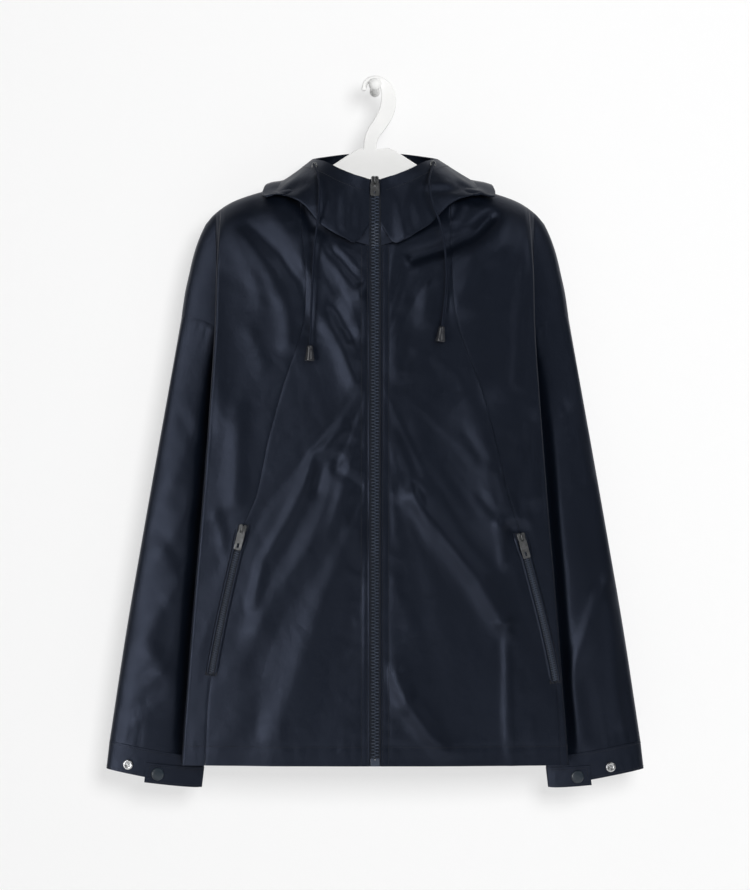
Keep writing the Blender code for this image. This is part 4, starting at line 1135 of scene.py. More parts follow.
def puckers(seed: int, sign: int) -> tuple[Fold, ...]:
    """Makes the small puckers that run out from the front edge's stitches.

    Args:
        seed: picks the puckers.
        sign: which half of the jacket.

    Returns:
        The puckers as folds.
    """
    rng = np.random.default_rng(seed)
    made = []
    height = PUCKER_FOOT
    while height < PUCKER_TOP:
        reach = rng.uniform(9.0, 26.0)
        drop = rng.uniform(-16.0, 10.0)
        start = ZIP_EDGE + rng.uniform(2.0, 9.0)
        rise = rng.uniform(0.35, 1.0) * (1.0 if rng.random() < 0.62 else -1.0)
        end = sign * (start + reach)
        line = ((sign * start, height), (end, height + drop))
        made.append(Fold(rng.uniform(2.6, 4.8), rise, line))
        height += rng.uniform(7.0, 17.0)
    return tuple(made)


@dataclass(frozen=True)
class Face:
    """The front or the back of the body."""

    sign: int
    edge: float
    depth_centre: float
    depth_side: float
    neck_depth: float
    inset: float
    neck: Curve
    folds: tuple[Fold, ...]
    creases: tuple[Fold, ...]
    hollows: tuple[Fold, ...] = ()


FRONT = Face(
    sign=-1,
    edge=ZIP_EDGE,
    depth_centre=44.0,
    depth_side=34.0,
    neck_depth=43.0,
    inset=0.0,
    neck=Curve((0, -200), (34, -189), (56, -175), (73, -158), (84, -138), (91, -116)),
    folds=FRONT_FOLDS,
    creases=FRONT_CREASES + puckers(11, LEFT.sign) + puckers(23, RIGHT.sign),
    hollows=folds(
        (9, -6.0, -96, -138, -76, -172),
        (6, -4.0, 94, -160, 100, -138, 122, -141),
    ),
)
BACK = Face(
    sign=1,
    edge=0.0,
    depth_centre=28.0,
    depth_side=29.0,
    neck_depth=27.0,
    inset=8.0,
    neck=Curve((0, -131), (45, -129), (75, -123), (91, -116)),
    folds=BACK_FOLDS,
    creases=BACK_CREASES,
)


class Column:
    """Where the parts of the body's cloth end, as columns from the centre out."""

    SEAM = 1.0
    EDGE = 2.0
    TURNED = 3.0
    ARMHOLE = 4.0
    DROP = 5.0


@dataclass
class BodyForm:
    """The form of the body's cloth, as columns from the centre out and rows from the hem up."""

    hang_plane: float = -58.0
    hem: float = -820.0
    neck_half_width: float = 91.0
    top_half_widths: tuple[float, ...] = (183.0, 188.0, 192.0, 205.0)
    fold_radius: float = 4.5
    shoulder_rounding: float = 95.0
    neck_roundness: float = 2.6
    side_reach: float = 200.0
    seam_gap: float = 0.3
    arm_outer: float = 234.5
    arm_outer_height: float = -281.0
    armpit: float = 136.0
    armpit_height: float = -400.0
    arm_curve: float = 2.6
    arm_depth: float = 15.0
    arm_roundness: float = 0.8
    arm_narrowing: float = 0.9
    corner_share: float = 0.4375
    hem_width: float = 23.0
    hem_groove: float = 0.45
    hem_groove_width: float = 2.0
    hem_gather: float = 0.45
    hem_gather_cell: float = 7.5
    hem_gather_row: float = 3.3
    hem_gather_reach: float = 13.0
    hem_calm: float = 0.55
    hem_calm_from: float = 4.0
    hem_calm_reach: float = 30.0
    groove: float = 0.35
    seam_groove_width: float = 2.0
    zip_flat: float = 10.0
    zip_grooves: tuple[tuple[float, float], ...] = ((9.2, 1.6), (16.4, 1.8))
    pocket_calm: float = 0.97
    pocket_half_width: float = 14.0
    pocket_over: float = 16.0
    pocket_fade: float = 10.0
    crease_wander: float = 4.0
    wander_cell: float = 55.0
    crease_rise: float = 0.62
    crease_broad: float = 1.35
    fold_rise: float = 1.15
    fold_broad: float = 1.0
    pull_rise: float = 1.5
    pull_centre: float = -345.0
    pull_fans: tuple[Triple, ...] = ((1.0, 7.0, 150.0), (0.5, 17.0, 90.0))
    pull_slope: float = 1.5
    pull_reach: float = 120.0
    pull_least: float = 0.15
    grain_rise: float = 0.12
    grain_lean: tuple[float, float] = (0.8, 0.35)
    grain_cell: tuple[float, float] = (9.0, 26.0)
    fold_edge: Curve = Curve(
        (-820, 233), (-713, 225), (-613, 217), (-509, 208),
        (-400, 199.5), (-294, 192.5), (-216, 191), (-155, 189),
    )
    side_seam: Curve = Curve((-820, 190), (-712, 168), (-550, 142), (-400, 136))
    cap_edge: Curve = Curve((-281, 234.5), (-250, 230.5), (-223, 227), (-168, 225))
    shoulder: Curve = Curve((91, -116), (134, -128), (160, -136), (178, -144), (195, -156.5), (205, -168))
    wander: tuple[Ripples, Ripples] = (Ripples(3), Ripples(4))
    ripple: Ripples = Ripples(5)

    def armhole(self, share: Number) -> tuple[Array, Array, Array]:
        """Gives half width, depth and height on the armhole, from the drop seam (0) to the armpit (1)."""
        share = np.asarray(share, float)
        half_width = mix(self.arm_outer, self.armpit, share)
        round_share = 2.0 * np.sqrt(np.clip(share * (1.0 - share), 0.0, None))
        depth = self.arm_depth * round_share ** (self.arm_roundness + self.arm_narrowing * share**2)
        height = mix(self.arm_outer_height, self.armpit_height, share**self.arm_curve)
        return half_width, depth, height

    def armhole_share(self, height: Array) -> Array:
        """Finds the share of the armhole that lies at a height."""
        drop = (height - self.arm_outer_height) / (self.armpit_height - self.arm_outer_height)
        return clamp(drop) ** (1.0 / self.arm_curve)

    def top_half_width(self, face: Face, column: Array) -> Array:
        """Gives the half width at which a column ends, on the neckline or the shoulder."""
        ends = (Column.SEAM, Column.EDGE, Column.TURNED, Column.ARMHOLE, Column.DROP)
        spread = np.interp(column, ends, (self.neck_half_width, *self.top_half_widths))
        return np.where(column <= Column.SEAM, mix(face.edge, self.neck_half_width, column), spread)

    def column_top(self, face: Face, column: Array) -> Array:
        """Gives the height at which a column ends."""
        half_width = self.top_half_width(face, column)
        return np.where(column <= Column.SEAM, face.neck(half_width), self.shoulder(half_width))

    def shoulder_round(self, drop: Array) -> Array:
        """Gives the share of its full depth that cloth has at a drop below its top edge."""
        share = clamp(drop / self.shoulder_rounding)
        return np.sqrt(1.0 - (1.0 - share) ** 2)

    def fine_relief(self, face: Face, side: Side, half_width: Array, height: Array) -> Array:
        """Sums folds, creases, pulls, the grooves of seams and the stitched hem."""
        x = side.sign * half_width
        cell = self.wander_cell
        wander_x, wander_z = (drift(x / cell, height / cell) * self.crease_wander for drift in self.wander)
        creases = relief(face.creases, x + wander_x, height + wander_z, self.crease_broad)
        total = self.crease_rise * creases + relief(face.hollows, x, height) + self.pulls(x, height)
        total = total + self.fold_rise * relief(face.folds, x, height, self.fold_broad)
        if face is FRONT:
            total = self.beside_zips(total, side, half_width, height)
        over_hem = height - self.hem - self.hem_width
        gather = self.ripple(x / self.hem_gather_cell, self.hem_gather_row)
        gather = gather * hump(over_hem, self.hem_gather_reach)
        free = clamp((height - self.hem - self.hem_calm_from) / self.hem_calm_reach)
        total = total * (1.0 - self.hem_calm + self.hem_calm * free) + self.hem_gather * gather
        return total - self.hem_groove * hump(over_hem, self.hem_groove_width)

    def beside_zips(self, total: Array, side: Side, half_width: Array, height: Array) -> Array:
        """Calms the front's relief at the pocket and the zip, and adds the grooves of seam and stitches."""
        off_seam = half_width - side.seam(height)
        in_pocket = clamp((height - side.pocket_end + self.pocket_fade) / self.pocket_fade)
        in_pocket = in_pocket * clamp((side.pocket_top + self.pocket_over - height) / self.pocket_fade)
        at_pocket = np.exp(-((off_seam / self.pocket_half_width) ** 4))
        total = total * (1.0 - self.pocket_calm * in_pocket * at_pocket)
        total = total - self.groove * (1.0 - in_pocket) * hump(off_seam, self.seam_groove_width)
        total = total * clamp((half_width - ZIP_EDGE) / self.zip_flat)
        for place, width in self.zip_grooves:
            total = total - self.groove * hump(half_width - place, width)
        return total

    def pulls(self, x: Array, height: Array) -> Array:
        """Gives the fine pulls in the cloth, which fan out from the middle of the chest."""
        rise = height - self.pull_centre
        reach = np.hypot(x, rise)
        turn = np.arctan2(x, rise)
        fan = sum(share * self.ripple(turn * count, reach / run) for share, count, run in self.pull_fans)
        slope = clamp(np.abs(rise) / np.maximum(reach, 1.0)) ** self.pull_slope
        far = np.clip(reach / self.pull_reach, self.pull_least, 1.0)
        slant = x * self.grain_lean[0] + height * self.grain_lean[1]
        grain = self.ripple(slant / self.grain_cell[0], height / self.grain_cell[1])
        return self.pull_rise * fan * slope * far + self.grain_rise * grain

    def face_depth(
        self, face: Face, side: Side, column: Array, half_width: Array, height: Array, fine: bool
    ) -> Array:
        """Gives the cloth's distance from the hanger's plane on the open face of the body."""
        round_neck = np.sqrt(1.0 - clamp(column) ** self.neck_roundness)
        at_neck = np.maximum(self.seam_gap, face.neck_depth * round_neck)
        start = np.where(column < Column.SEAM, at_neck, self.seam_gap)
        full = mix(face.depth_centre, face.depth_side, (half_width / self.side_reach) ** 2)
        rounded = self.shoulder_round(self.column_top(face, column) - height)
        folds = self.fine_relief(face, side, half_width, height) if fine else 0.0
        return mix(start, full, rounded) + rounded * folds

    def folded(
        self, face: Face, side: Side, column: Array, height: Array, rise: Array, edge: Array, fine: bool
    ) -> tuple[Array, Array]:
        """Gives half width and depth past the fold edge, where the cloth turns in to the sleeve."""
        start = self.face_depth(face, side, np.full_like(edge, Column.EDGE), edge, height, fine)
        rounded = self.shoulder_round(self.column_top(face, column) - height)
        corner_half, corner_depth, _ = self.armhole(self.corner_share)
        arm_half, arm_depth, _ = self.armhole(self.armhole_share(height))
        low = height <= self.armpit_height
        on_cap = (rise > 0.0) | (column > Column.ARMHOLE)
        inner_half = np.where(on_cap, corner_half, np.where(low, self.side_seam(height), arm_half))
        inner_depth = np.where(rise > 0.0, corner_depth * rounded, np.where(low, 0.0, arm_depth))
        angle = math.pi * clamp(column - Column.EDGE)
        wrap_half = edge + self.fold_radius * np.sin(angle)
        wrap_depth = start - self.fold_radius * (1.0 - np.cos(angle))
        back_half = mix(edge, inner_half, column - Column.TURNED)
        back_depth = mix(start - 2.0 * self.fold_radius, inner_depth, column - Column.TURNED)
        cap_half = mix(inner_half, self.cap_edge(height), column - Column.ARMHOLE)
        cap_depth = rounded * self.armhole(self.corner_share * clamp(Column.DROP - column))[1]
        parts = [column <= Column.TURNED, column <= Column.ARMHOLE]
        half = np.select(parts, [wrap_half, back_half], cap_half)
        depth = np.select(parts, [wrap_depth, back_depth], cap_depth)
        out = clamp((column - Column.EDGE) / (Column.DROP - Column.EDGE))
        flat_depth = face.depth_side * rounded * np.sqrt(1.0 - out**2)
        fade = 1.0 - rise**3
        top_half = self.top_half_width(face, column)
        return mix(top_half, half, fade), self.seam_gap + mix(flat_depth, depth, fade)

    def points(
        self, face: Face, side: Side, column: Array, height: Array, rise: Array, fine: bool = True
    ) -> Array:
        """Gives points of the body's cloth.

        Args:
            face: front or back.
            side: left or right half.
            column: place from the centre out.
            height: height of the rows up to the armhole's corner.
            rise: 0 up to that corner and then up to 1 at the shoulder.
            fine: whether folds and creases are added to the main form.

        Returns:
            The points.
        """
        column, height, rise = (np.array(a, float) for a in np.broadcast_arrays(column, height, rise))
        foot = self.armhole(self.corner_share * clamp(Column.DROP - column))[2]
        upper = (rise > 0.0) | (column > Column.ARMHOLE)
        height = np.where(upper, mix(foot, self.column_top(face, column), rise), height)
        seam = side.seam(height) if face is FRONT else LEFT.seam(height)
        edge = self.fold_edge(height) - face.inset - self.fold_radius
        outer_half = mix(seam, edge, column - Column.SEAM)
        half = np.where(column <= Column.SEAM, mix(face.edge, seam, column), outer_half)
        half = mix(half, self.top_half_width(face, column), rise**3)
        depth = self.face_depth(face, side, column, half, height, fine)
        turned_half, turned_depth = self.folded(face, side, column, height, rise, edge, fine)
        turned = column > Column.EDGE
        half = np.where(turned, turned_half, half)
        depth = np.where(turned, turned_depth, depth)
        return stacked(side.sign * half, self.hang_plane + face.sign * depth, height)


@dataclass
class BodyCloth:
    """The fronts and the back, cut, seamed and stitched."""

    form: BodyForm
    thickness: float = 1.2
    part_columns: tuple[int, ...] = (58, 26, 9, 10, 14)
    body_rows: int = 110
    armhole_rows: int = 30
    upper_rows: int = 54
    close_columns: tuple[float, ...] = (0.006, 0.014, 0.024, 0.034, 0.05, 0.985, 0.994, 1.012, 1.03)
    hem_stitch_end: float = 3.6
    centre_cut: Cut = Cut(0.225, 0.720, 0.093)
    side_cut: Cut = Cut(0.250, 0.690, 0.090)
    back_cut: Cut = Cut(0.640, 0.710, 0.36)
    fronts: dict[str, ClothGrid] = field(default_factory=dict)
    back: Optional[ClothGrid] = None

    def columns(self) -> Array:
        """Lists the columns from the centre out, closer together at the zip and the panel seam."""
        places = [np.linspace(part, part + 1.0, count + 1) for part, count in enumerate(self.part_columns)]
        return np.unique(np.round(np.concatenate([*places, self.close_columns]), 6))

    def nearest_column(self, place: float) -> int:
        """Finds the column nearest to a place."""
        return int(np.argmin(np.abs(self.columns() - place)))

    def levels(self) -> tuple[Array, Array]:
        """Lists the rows' heights and rises from the hem up."""
        form = self.form
        lower = np.linspace(form.hem, form.armpit_height, self.body_rows + 1)
        shares = np.linspace(1.0, form.corner_share, self.armhole_rows + 1)[1:]
        heights = np.concatenate((lower, form.armhole(shares)[2]))
        rises = 1.0 - (1.0 - np.arange(1, self.upper_rows + 1) / self.upper_rows) ** 2
        top = np.full(self.upper_rows, heights[-1])
        return np.concatenate((heights, top)), np.concatenate((np.zeros_like(heights), rises))

    def corner_row(self) -> int:
        """Finds the row at the armhole's corner."""
        return self.body_rows + self.armhole_rows

    def half(self, face: Face, side: Side) -> Array:
        """Makes half a face's points, with none where the sleeve takes over."""
        columns = self.columns()
        heights, rises = self.levels()
        points = self.form.points(face, side, columns[None, :], heights[:, None], rises[:, None])
        points[: self.corner_row(), columns > Column.ARMHOLE] = np.nan
        return points

    def square_shoulder(self, grid: ClothGrid, columns: Array) -> None:
        """Turns the shoulder edge's directions up, so that front and back don't meet there."""
        outermost = columns >= Column.DROP
        upper = np.arange(len(grid.points)) >= self.corner_row()
        turn = upper[:, None] & outermost[None, :]
        turn[-1] |= columns >= Column.SEAM
        grid.normals[turn, 1] = 0.0
        grid.normals[turn] = unit(grid.normals[turn])

    def build_fronts(self) -> None:
        """Makes the centre and side fronts."""
        seam = self.nearest_column(Column.SEAM)
        half_gap = self.form.seam_gap / 2.0
        for side in SIDES:
            grid = ClothGrid(self.half(FRONT, side), side.flip)
            self.square_shoulder(grid, self.columns())
            self.fronts[side.name] = grid
            centre = grid.columns(0, seam)
            centre.drawn_in(-1, -2, half_gap)
            outer = grid.columns(seam, len(self.columns()) - 1)
            outer.drawn_in(0, 1, half_gap)
            for kind, part, cut in (("centre", centre, self.centre_cut), ("side", outer, self.side_cut)):
                node = f"front_{kind}_{side.name}"
                piece = show(f"cloth_{node}", part.wall(node, self.thickness), NYLON, [node])
                cut.declare(piece, ["hanger"])

    def build_back(self) -> None:
        """Makes the back in one piece."""
        columns = self.columns()
        left, right = (self.half(BACK, side) for side in SIDES)
        grid = ClothGrid(np.concatenate((left[:, :0:-1], right), axis=1), True)
        self.square_shoulder(grid, np.concatenate((columns[:0:-1], columns)))
        self.back = grid
        piece = show("cloth_back", grid.wall("back", self.thickness), NYLON, ["back"])
        self.back_cut.declare(piece, ["hanger"])

    def edge_line(self, side: Side, half_width: float) -> tuple[Array, Array]:
        """Reads the line at a distance from the centre, from the hem to the neck seam."""
        grid = self.fronts[side.name]
        seam = self.nearest_column(Column.SEAM)
        rows = np.arange(len(grid.points))
        spots = np.abs(grid.points[:, : seam + 1, 0])
        columns = np.array([np.interp(half_width, spot, np.arange(seam + 1)) for spot in spots])
        return grid.sample(rows, columns)

    def stitch(self, sewing: Sewing) -> None:
        """Sews the zip's edges and the hem."""
        heights, _ = self.levels()
        hem_stitches = self.form.hem + self.form.hem_width
        row = np.interp(hem_stitches, heights[: self.body_rows], np.arange(self.body_rows))
        last = self.nearest_column(self.hem_stitch_end)
        for side in SIDES:
            for half_width, _ in self.form.zip_grooves:
                sewing.row(*self.edge_line(side, half_width))
            sewing.row(*self.fronts[side.name].sample(row, np.arange(2, last)))
        middle = len(self.columns()) - 1
        sewing.row(*self.back.sample(row, np.arange(middle - last, middle + last)))


# Sleeves and cuffs


@dataclass(frozen=True)
class Ring:
    """A flattened ring of cloth, by its outer and inner end and its reach to front and back."""

    outer: Number
    outer_height: Number
    inner: Number
    inner_height: Number
    front: Number
    back: Number
    taper: float = 0.45
    roundness: float = 0.8

    HALF = 8.0
    WHOLE = 16.0

    @classmethod
    def turns(cls, count: int) -> Array:
        """Lists evenly spaced turns, as one row."""
        return (np.arange(count) * cls.WHOLE / count)[None, :]

    @classmethod
    def facing(cls, turn: Array) -> tuple[Array, Array]:
        """Gives 1 on the front and -1 on the back, and a share that is 0 at both ends."""
        return np.where(turn <= cls.HALF, 1.0, -1.0), np.abs(np.sin(turn * math.pi / cls.HALF))

    def points(self, form: BodyForm, side: Side, turn: Array) -> Array:
        """Gives points on the ring; turn 0 is the outer end, HALF the inner end, WHOLE a whole turn."""
        angle = turn * math.pi / self.HALF
        share = (1.0 - np.cos(angle)) / 2.0
        wave = np.sin(angle)
        reach = np.where(wave >= 0.0, self.front, self.back)
        depth = reach * np.sign(wave) * np.abs(wave) ** self.roundness * (1.0 - self.taper * share**2)
        half_width = mix(self.outer, self.inner, share)
        height = mix(self.outer_height, self.inner_height, share)
        return stacked(side.sign * half_width, form.hang_plane - depth, height)


@dataclass
class Sleeve:
    """One sleeve, from the dropped armhole to the cuff seam."""

    form: BodyForm
    side: Side
    thickness: float = 1.2
    rows: int = 150
    turns: int = 112
    seam_lap: float = 0.8
    seam_step: float = 0.9
    corner_turn: float = 3.0
    crease_drift: float = 2.0
    drift_cell: float = 40.0
    swell_curve: float = 0.3
    ripple_rise: float = 0.35
    gather_rise: float = 0.9
    gather_cell: float = 2.3
    gather_row: float = 1.5
    fine_gather: float = 0.6
    fine_gather_cell: float = 4.6
    fine_gather_row: float = 7.5
    gather_start: float = 0.012
    gather_reach: float = 0.055
    cuff_gather: float = 0.8
    cuff_gather_reach: float = 0.085
    cuff_gather_least: float = 0.35
    cuff_gather_left: float = 0.5
    cuff_gather_right: float = 1.3
    cuff_gather_turn: float = 1.6
    cuff_gather_spread: float = 5.0
    tuck: float = 11.0
    tuck_width: float = 9.0
    cut: Cut = Cut(0.300, 0.560, 0.130, Held.GATHERED)
    # Station, outer end and its height, inner end and its height, reach to front and back
    rings: tuple[Curve, ...] = curves(
        (0, 236.5, -290, 138, -404, 15, 14),
        (0.1, 243, -328, 147, -430, 12, 10),
        (0.25, 257.5, -410, 156, -482, 15, 12),
        (0.5, 280, -537, 168, -582, 17, 14),
        (0.75, 301.5, -662, 186, -694, 18, 14),
        (1, 321.5, -793, 206, -815, 16, 13),
    )
    settle: Curve = Curve((0, 1), (0.0909, 0.6), (0.1818, 0.25), (0.2727, 0.0))
    ripple: Ripples = Ripples(8)

    def ring(self, station: Array) -> Ring:
        """Reads the sleeve's ring at a station from armhole (0) to cuff (1)."""
        return Ring(*(curve(station) for curve in self.rings))

    def armhole(self, turn: Array) -> Array:
        """Gives the armhole's points in step with the sleeve's turns."""
        form = self.form
        near = np.where(turn <= Ring.HALF, turn, Ring.WHOLE - turn)
        low = form.corner_share * near / self.corner_turn
        past_corner = (near - self.corner_turn) / (Ring.HALF - self.corner_turn)
        high = mix(form.corner_share, 1.0, past_corner)
        half_width, depth, height = form.armhole(np.where(near <= self.corner_turn, low, high))
        depth = np.where((near > 0.0) & (near < Ring.HALF), form.seam_gap + depth, 0.0)
        depth = depth * -Ring.facing(turn)[0]
        return stacked(self.side.sign * half_width, form.hang_plane + depth, height)

    def creases(self, x: Array, z: Array, face: Array) -> Array:
        """Sums folds and creases; the back has them mirrored, and the front tucks in at the body."""
        form = self.form
        folds = relief(SLEEVE_FOLDS, face * x, z, form.fold_broad)
        drift = self.crease_drift * self.ripple(x / self.drift_cell, z / self.drift_cell)
        small = form.crease_rise * relief(SLEEVE_CREASES, face * x + drift, z, form.crease_broad)
        past_edge = np.abs(x) - form.fold_edge(z) - 1.0
        tuck = np.where(face > 0.0, self.tuck * hump(past_edge, self.tuck_width), 0.0)
        return folds + small - tuck

    def gathers(self, station: Array, turn: Array) -> Array:
        """Gives the small gathers below the drop seam and above the cuff."""
        wave = self.ripple(turn * self.gather_cell, self.gather_row + self.side.sign)
        wave = wave + self.fine_gather * self.ripple(turn * self.fine_gather_cell, self.fine_gather_row)
        below_seam = clamp(station / self.gather_start) * hump(station, self.gather_reach)
        over_cuff = hump(1.0 - station, self.cuff_gather_reach)
        most = self.cuff_gather_right if self.side is RIGHT else self.cuff_gather_left
        near = np.exp(-((turn - self.cuff_gather_turn) ** 2) / self.cuff_gather_spread)
        outer = self.cuff_gather_least + most * near
        return wave * (self.gather_rise * below_seam + self.cuff_gather * over_cuff * outer)

    def grid(self) -> ClothGrid:
        """Makes the sleeve's rows of points from the armhole down."""
        station = np.linspace(0.0, 1.0, self.rows + 1)[:, None]
        turn = Ring.turns(self.turns)
        points = self.ring(station).points(self.form, self.side, turn)
        face, wave = Ring.facing(turn)
        swell = clamp(np.sin(math.pi * station)) ** self.swell_curve * wave
        x, z = points[..., 0], points[..., 2]
        fine = self.ripple_rise * self.ripple((x + 0.5 * z) / 18.0, (z - 0.5 * x) / 55.0)
        rise = swell * (self.creases(x, z, face) + fine) + wave * self.gathers(station, turn)
        points[..., 1] -= face * rise
        points = points + (self.armhole(turn) - points[:1]) * self.settle(station)[..., None]
        points[0] -= unit(points[1] - points[0]) * self.seam_lap
        points[0, :, 1] += (face * wave)[0] * self.seam_step
        return ClothGrid(points, self.side.flip, closed=True)

    def build(self) -> None:
        """Adds the sleeve to the scene."""
        node = f"sleeve_{self.side.name}"
        piece = show(f"cloth_{node}", self.grid().wall(node, self.thickness), NYLON, [node])
        self.cut.declare(piece, [f"cloth_front_side_{self.side.name}"])


@dataclass
class Cuff:
    """One cuff band with its tab and snap."""

    form: BodyForm
    side: Side
    tab_end: float
    cap: float
    socket: float
    thickness: float = 1.2
    lift: float = 0.45
    rows: int = 16
    turns: int = 128
    tab_foot: float = 7.6
    tab_top: float = 0.28
    tab_bottom: float = 0.98
    tab_tilt: float = 0.20
    cap_share: float = 0.80
    socket_share: float = 0.68
    gather: float = 0.55
    gather_cell: float = 2.6
    left_gather: float = 0.45
    socket_calm: float = 0.7
    cap_calm: float = 0.9
    tab_columns: int = 48
    tab_rows: int = 13
    band_stitches: tuple[float, float] = (1.2, 1.4)
    tab_stitch_rows: tuple[float, float] = (1.4, 10.6)
    tab_stitch_columns: tuple[float, float] = (2.2, 45.0)
    band_cut: Cut = Cut(0.250, 0.036, 0.0088, Held.GATHERED)
    tab_cut: Cut = Cut(0.070, 0.026, 0.0017, Held.FOLDED)
    ripple: Ripples = Ripples(14)

    TOP = Ring(321.6, -793.4, 206.1, -815.4, 16.0, 13.0)
    BOTTOM = Ring(325.5, -827.0, 210.0, -850.0, 14.0, 11.0)
    CAP_PROFILE = (
        (0.02, 2.4), (2.2, 2.42), (4.2, 2.32), (5.6, 2.05), (6.5, 1.9),
        (6.9, 1.75), (7.4, 1.2), (7.75, 0.7), (7.8, 0.3), (7.6, 0.0),
    )
    SOCKET_PROFILE = (
        (2.2, 0.4), (2.3, 1.3), (2.7, 1.9), (3.3, 2.2), (4.2, 2.4),
        (5.0, 2.35), (5.5, 1.9), (5.9, 1.4), (6.2, 0.9), (6.2, 0.0),
    )
    STUD_PROFILE = ((0.02, 1.0), (0.9, 0.95), (1.3, 0.6), (1.4, 0.3), (2.2, 0.3))

    def points(self, share: Array, turn: Array) -> Array:
        """Gives points on the band from its seam (0) to its open edge (1)."""
        names = ("outer", "outer_height", "inner", "inner_height", "front", "back")
        ring = Ring(*(mix(getattr(self.TOP, name), getattr(self.BOTTOM, name), share) for name in names))
        points = ring.points(self.form, self.side, turn)
        amount = 1.0 if self.side is RIGHT else self.left_gather
        at_socket = np.exp(-((turn - self.socket) ** 2) / self.socket_calm)
        at_cap = np.exp(-((turn - self.cap) ** 2) / self.cap_calm)
        wave = self.ripple(turn * self.gather_cell, share * 1.4 + 3.0) * self.gather * amount
        face, flatness = Ring.facing(turn)
        points[..., 1] -= face * (wave * (1.0 - clamp(at_socket + at_cap))) * flatness
        return points

    def grid(self) -> ClothGrid:
        """Makes the band's rows of points."""
        share = np.linspace(0.0, 1.0, self.rows + 1)[:, None]
        return ClothGrid(self.points(share, Ring.turns(self.turns)), self.side.flip, closed=True)

    def build(self, sewing: Sewing) -> None:
        """Adds the band, the tab and both halves of the snap."""
        name = self.side.name
        band = self.grid()
        piece = show(f"cloth_cuff_{name}", band.wall("cuff", self.thickness), NYLON, [f"cuff_{name}"])
        self.band_cut.declare(piece, [f"cloth_sleeve_{name}"])
        tab = self._tab(band)
        mesh = tab.wall("cuff_tab", self.thickness, self.thickness + self.lift)
        strap = show(f"cloth_cuff_tab_{name}", mesh, NYLON, [f"cuff_tab_{name}"])
        self.tab_cut.declare(strap, [f"cloth_cuff_{name}"])
        self._stitch(band, tab, sewing)
        scale = self.turns / Ring.WHOLE
        cap = band.sample(self.cap_share * self.rows, self.cap * scale)
        socket = band.sample(self.socket_share * self.rows, self.socket * scale)
        self._snap("snap_cap", self.CAP_PROFILE, SNAP_CAP, cap, self.thickness + 2.0 * self.lift)
        self._snap("snap_socket", self.SOCKET_PROFILE, SNAP_METAL, socket, self.lift)

    def _tab(self, band: ClothGrid) -> ClothGrid:
        """Lays the tab's points on the band."""
        columns = np.linspace(self.tab_end, self.tab_foot, self.tab_columns)[None, :]
        tilt = self.tab_tilt * (self.tab_foot - columns) / (self.tab_foot - self.tab_end)
        rows = np.linspace(self.tab_top, self.tab_bottom, self.tab_rows)[:, None] + tilt
        points, normals = band.sample(rows * self.rows, columns * (self.turns / Ring.WHOLE))
        return ClothGrid(points, self.side.flip, normals=normals)

    def _stitch(self, band: ClothGrid, tab: ClothGrid, sewing: Sewing) -> None:
        """Sews round the band's edges and the tab's."""
        turns = np.arange(0.0, self.turns - 1.0)
        for row in (self.band_stitches[0], self.rows - self.band_stitches[1]):
            sewing.row(*band.sample(row, turns))
        outer = tab.points + tab.normals * (self.thickness + self.lift)
        lifted = ClothGrid(outer, tab.flip, normals=tab.normals)
        start, end = self.tab_stitch_columns
        for row in self.tab_stitch_rows:
            sewing.row(*lifted.sample(row, np.linspace(start, end, 40)))
        sewing.row(*lifted.sample(np.linspace(*self.tab_stitch_rows, 12), start))

    def _snap(
        self,
        kind: str,
        profile: Profile,
        finish: Finish,
        seat: tuple[Array, Array],
        lift: float,
    ) -> None:
        """Seats one half of the snap on the band or the tab."""
        spot, normal = seat
        frame = Frame.on(spot + normal * lift, DOWN, normal)
        node = f"{kind}_{self.side.name}"
        maker = MeshMaker(node)
        maker.put(frame, lathe(profile, 40))
        if finish is SNAP_METAL:
            maker.put(frame, lathe(self.STUD_PROFILE, 24))
        show(node, maker.mesh(), finish, [node])


# Hood


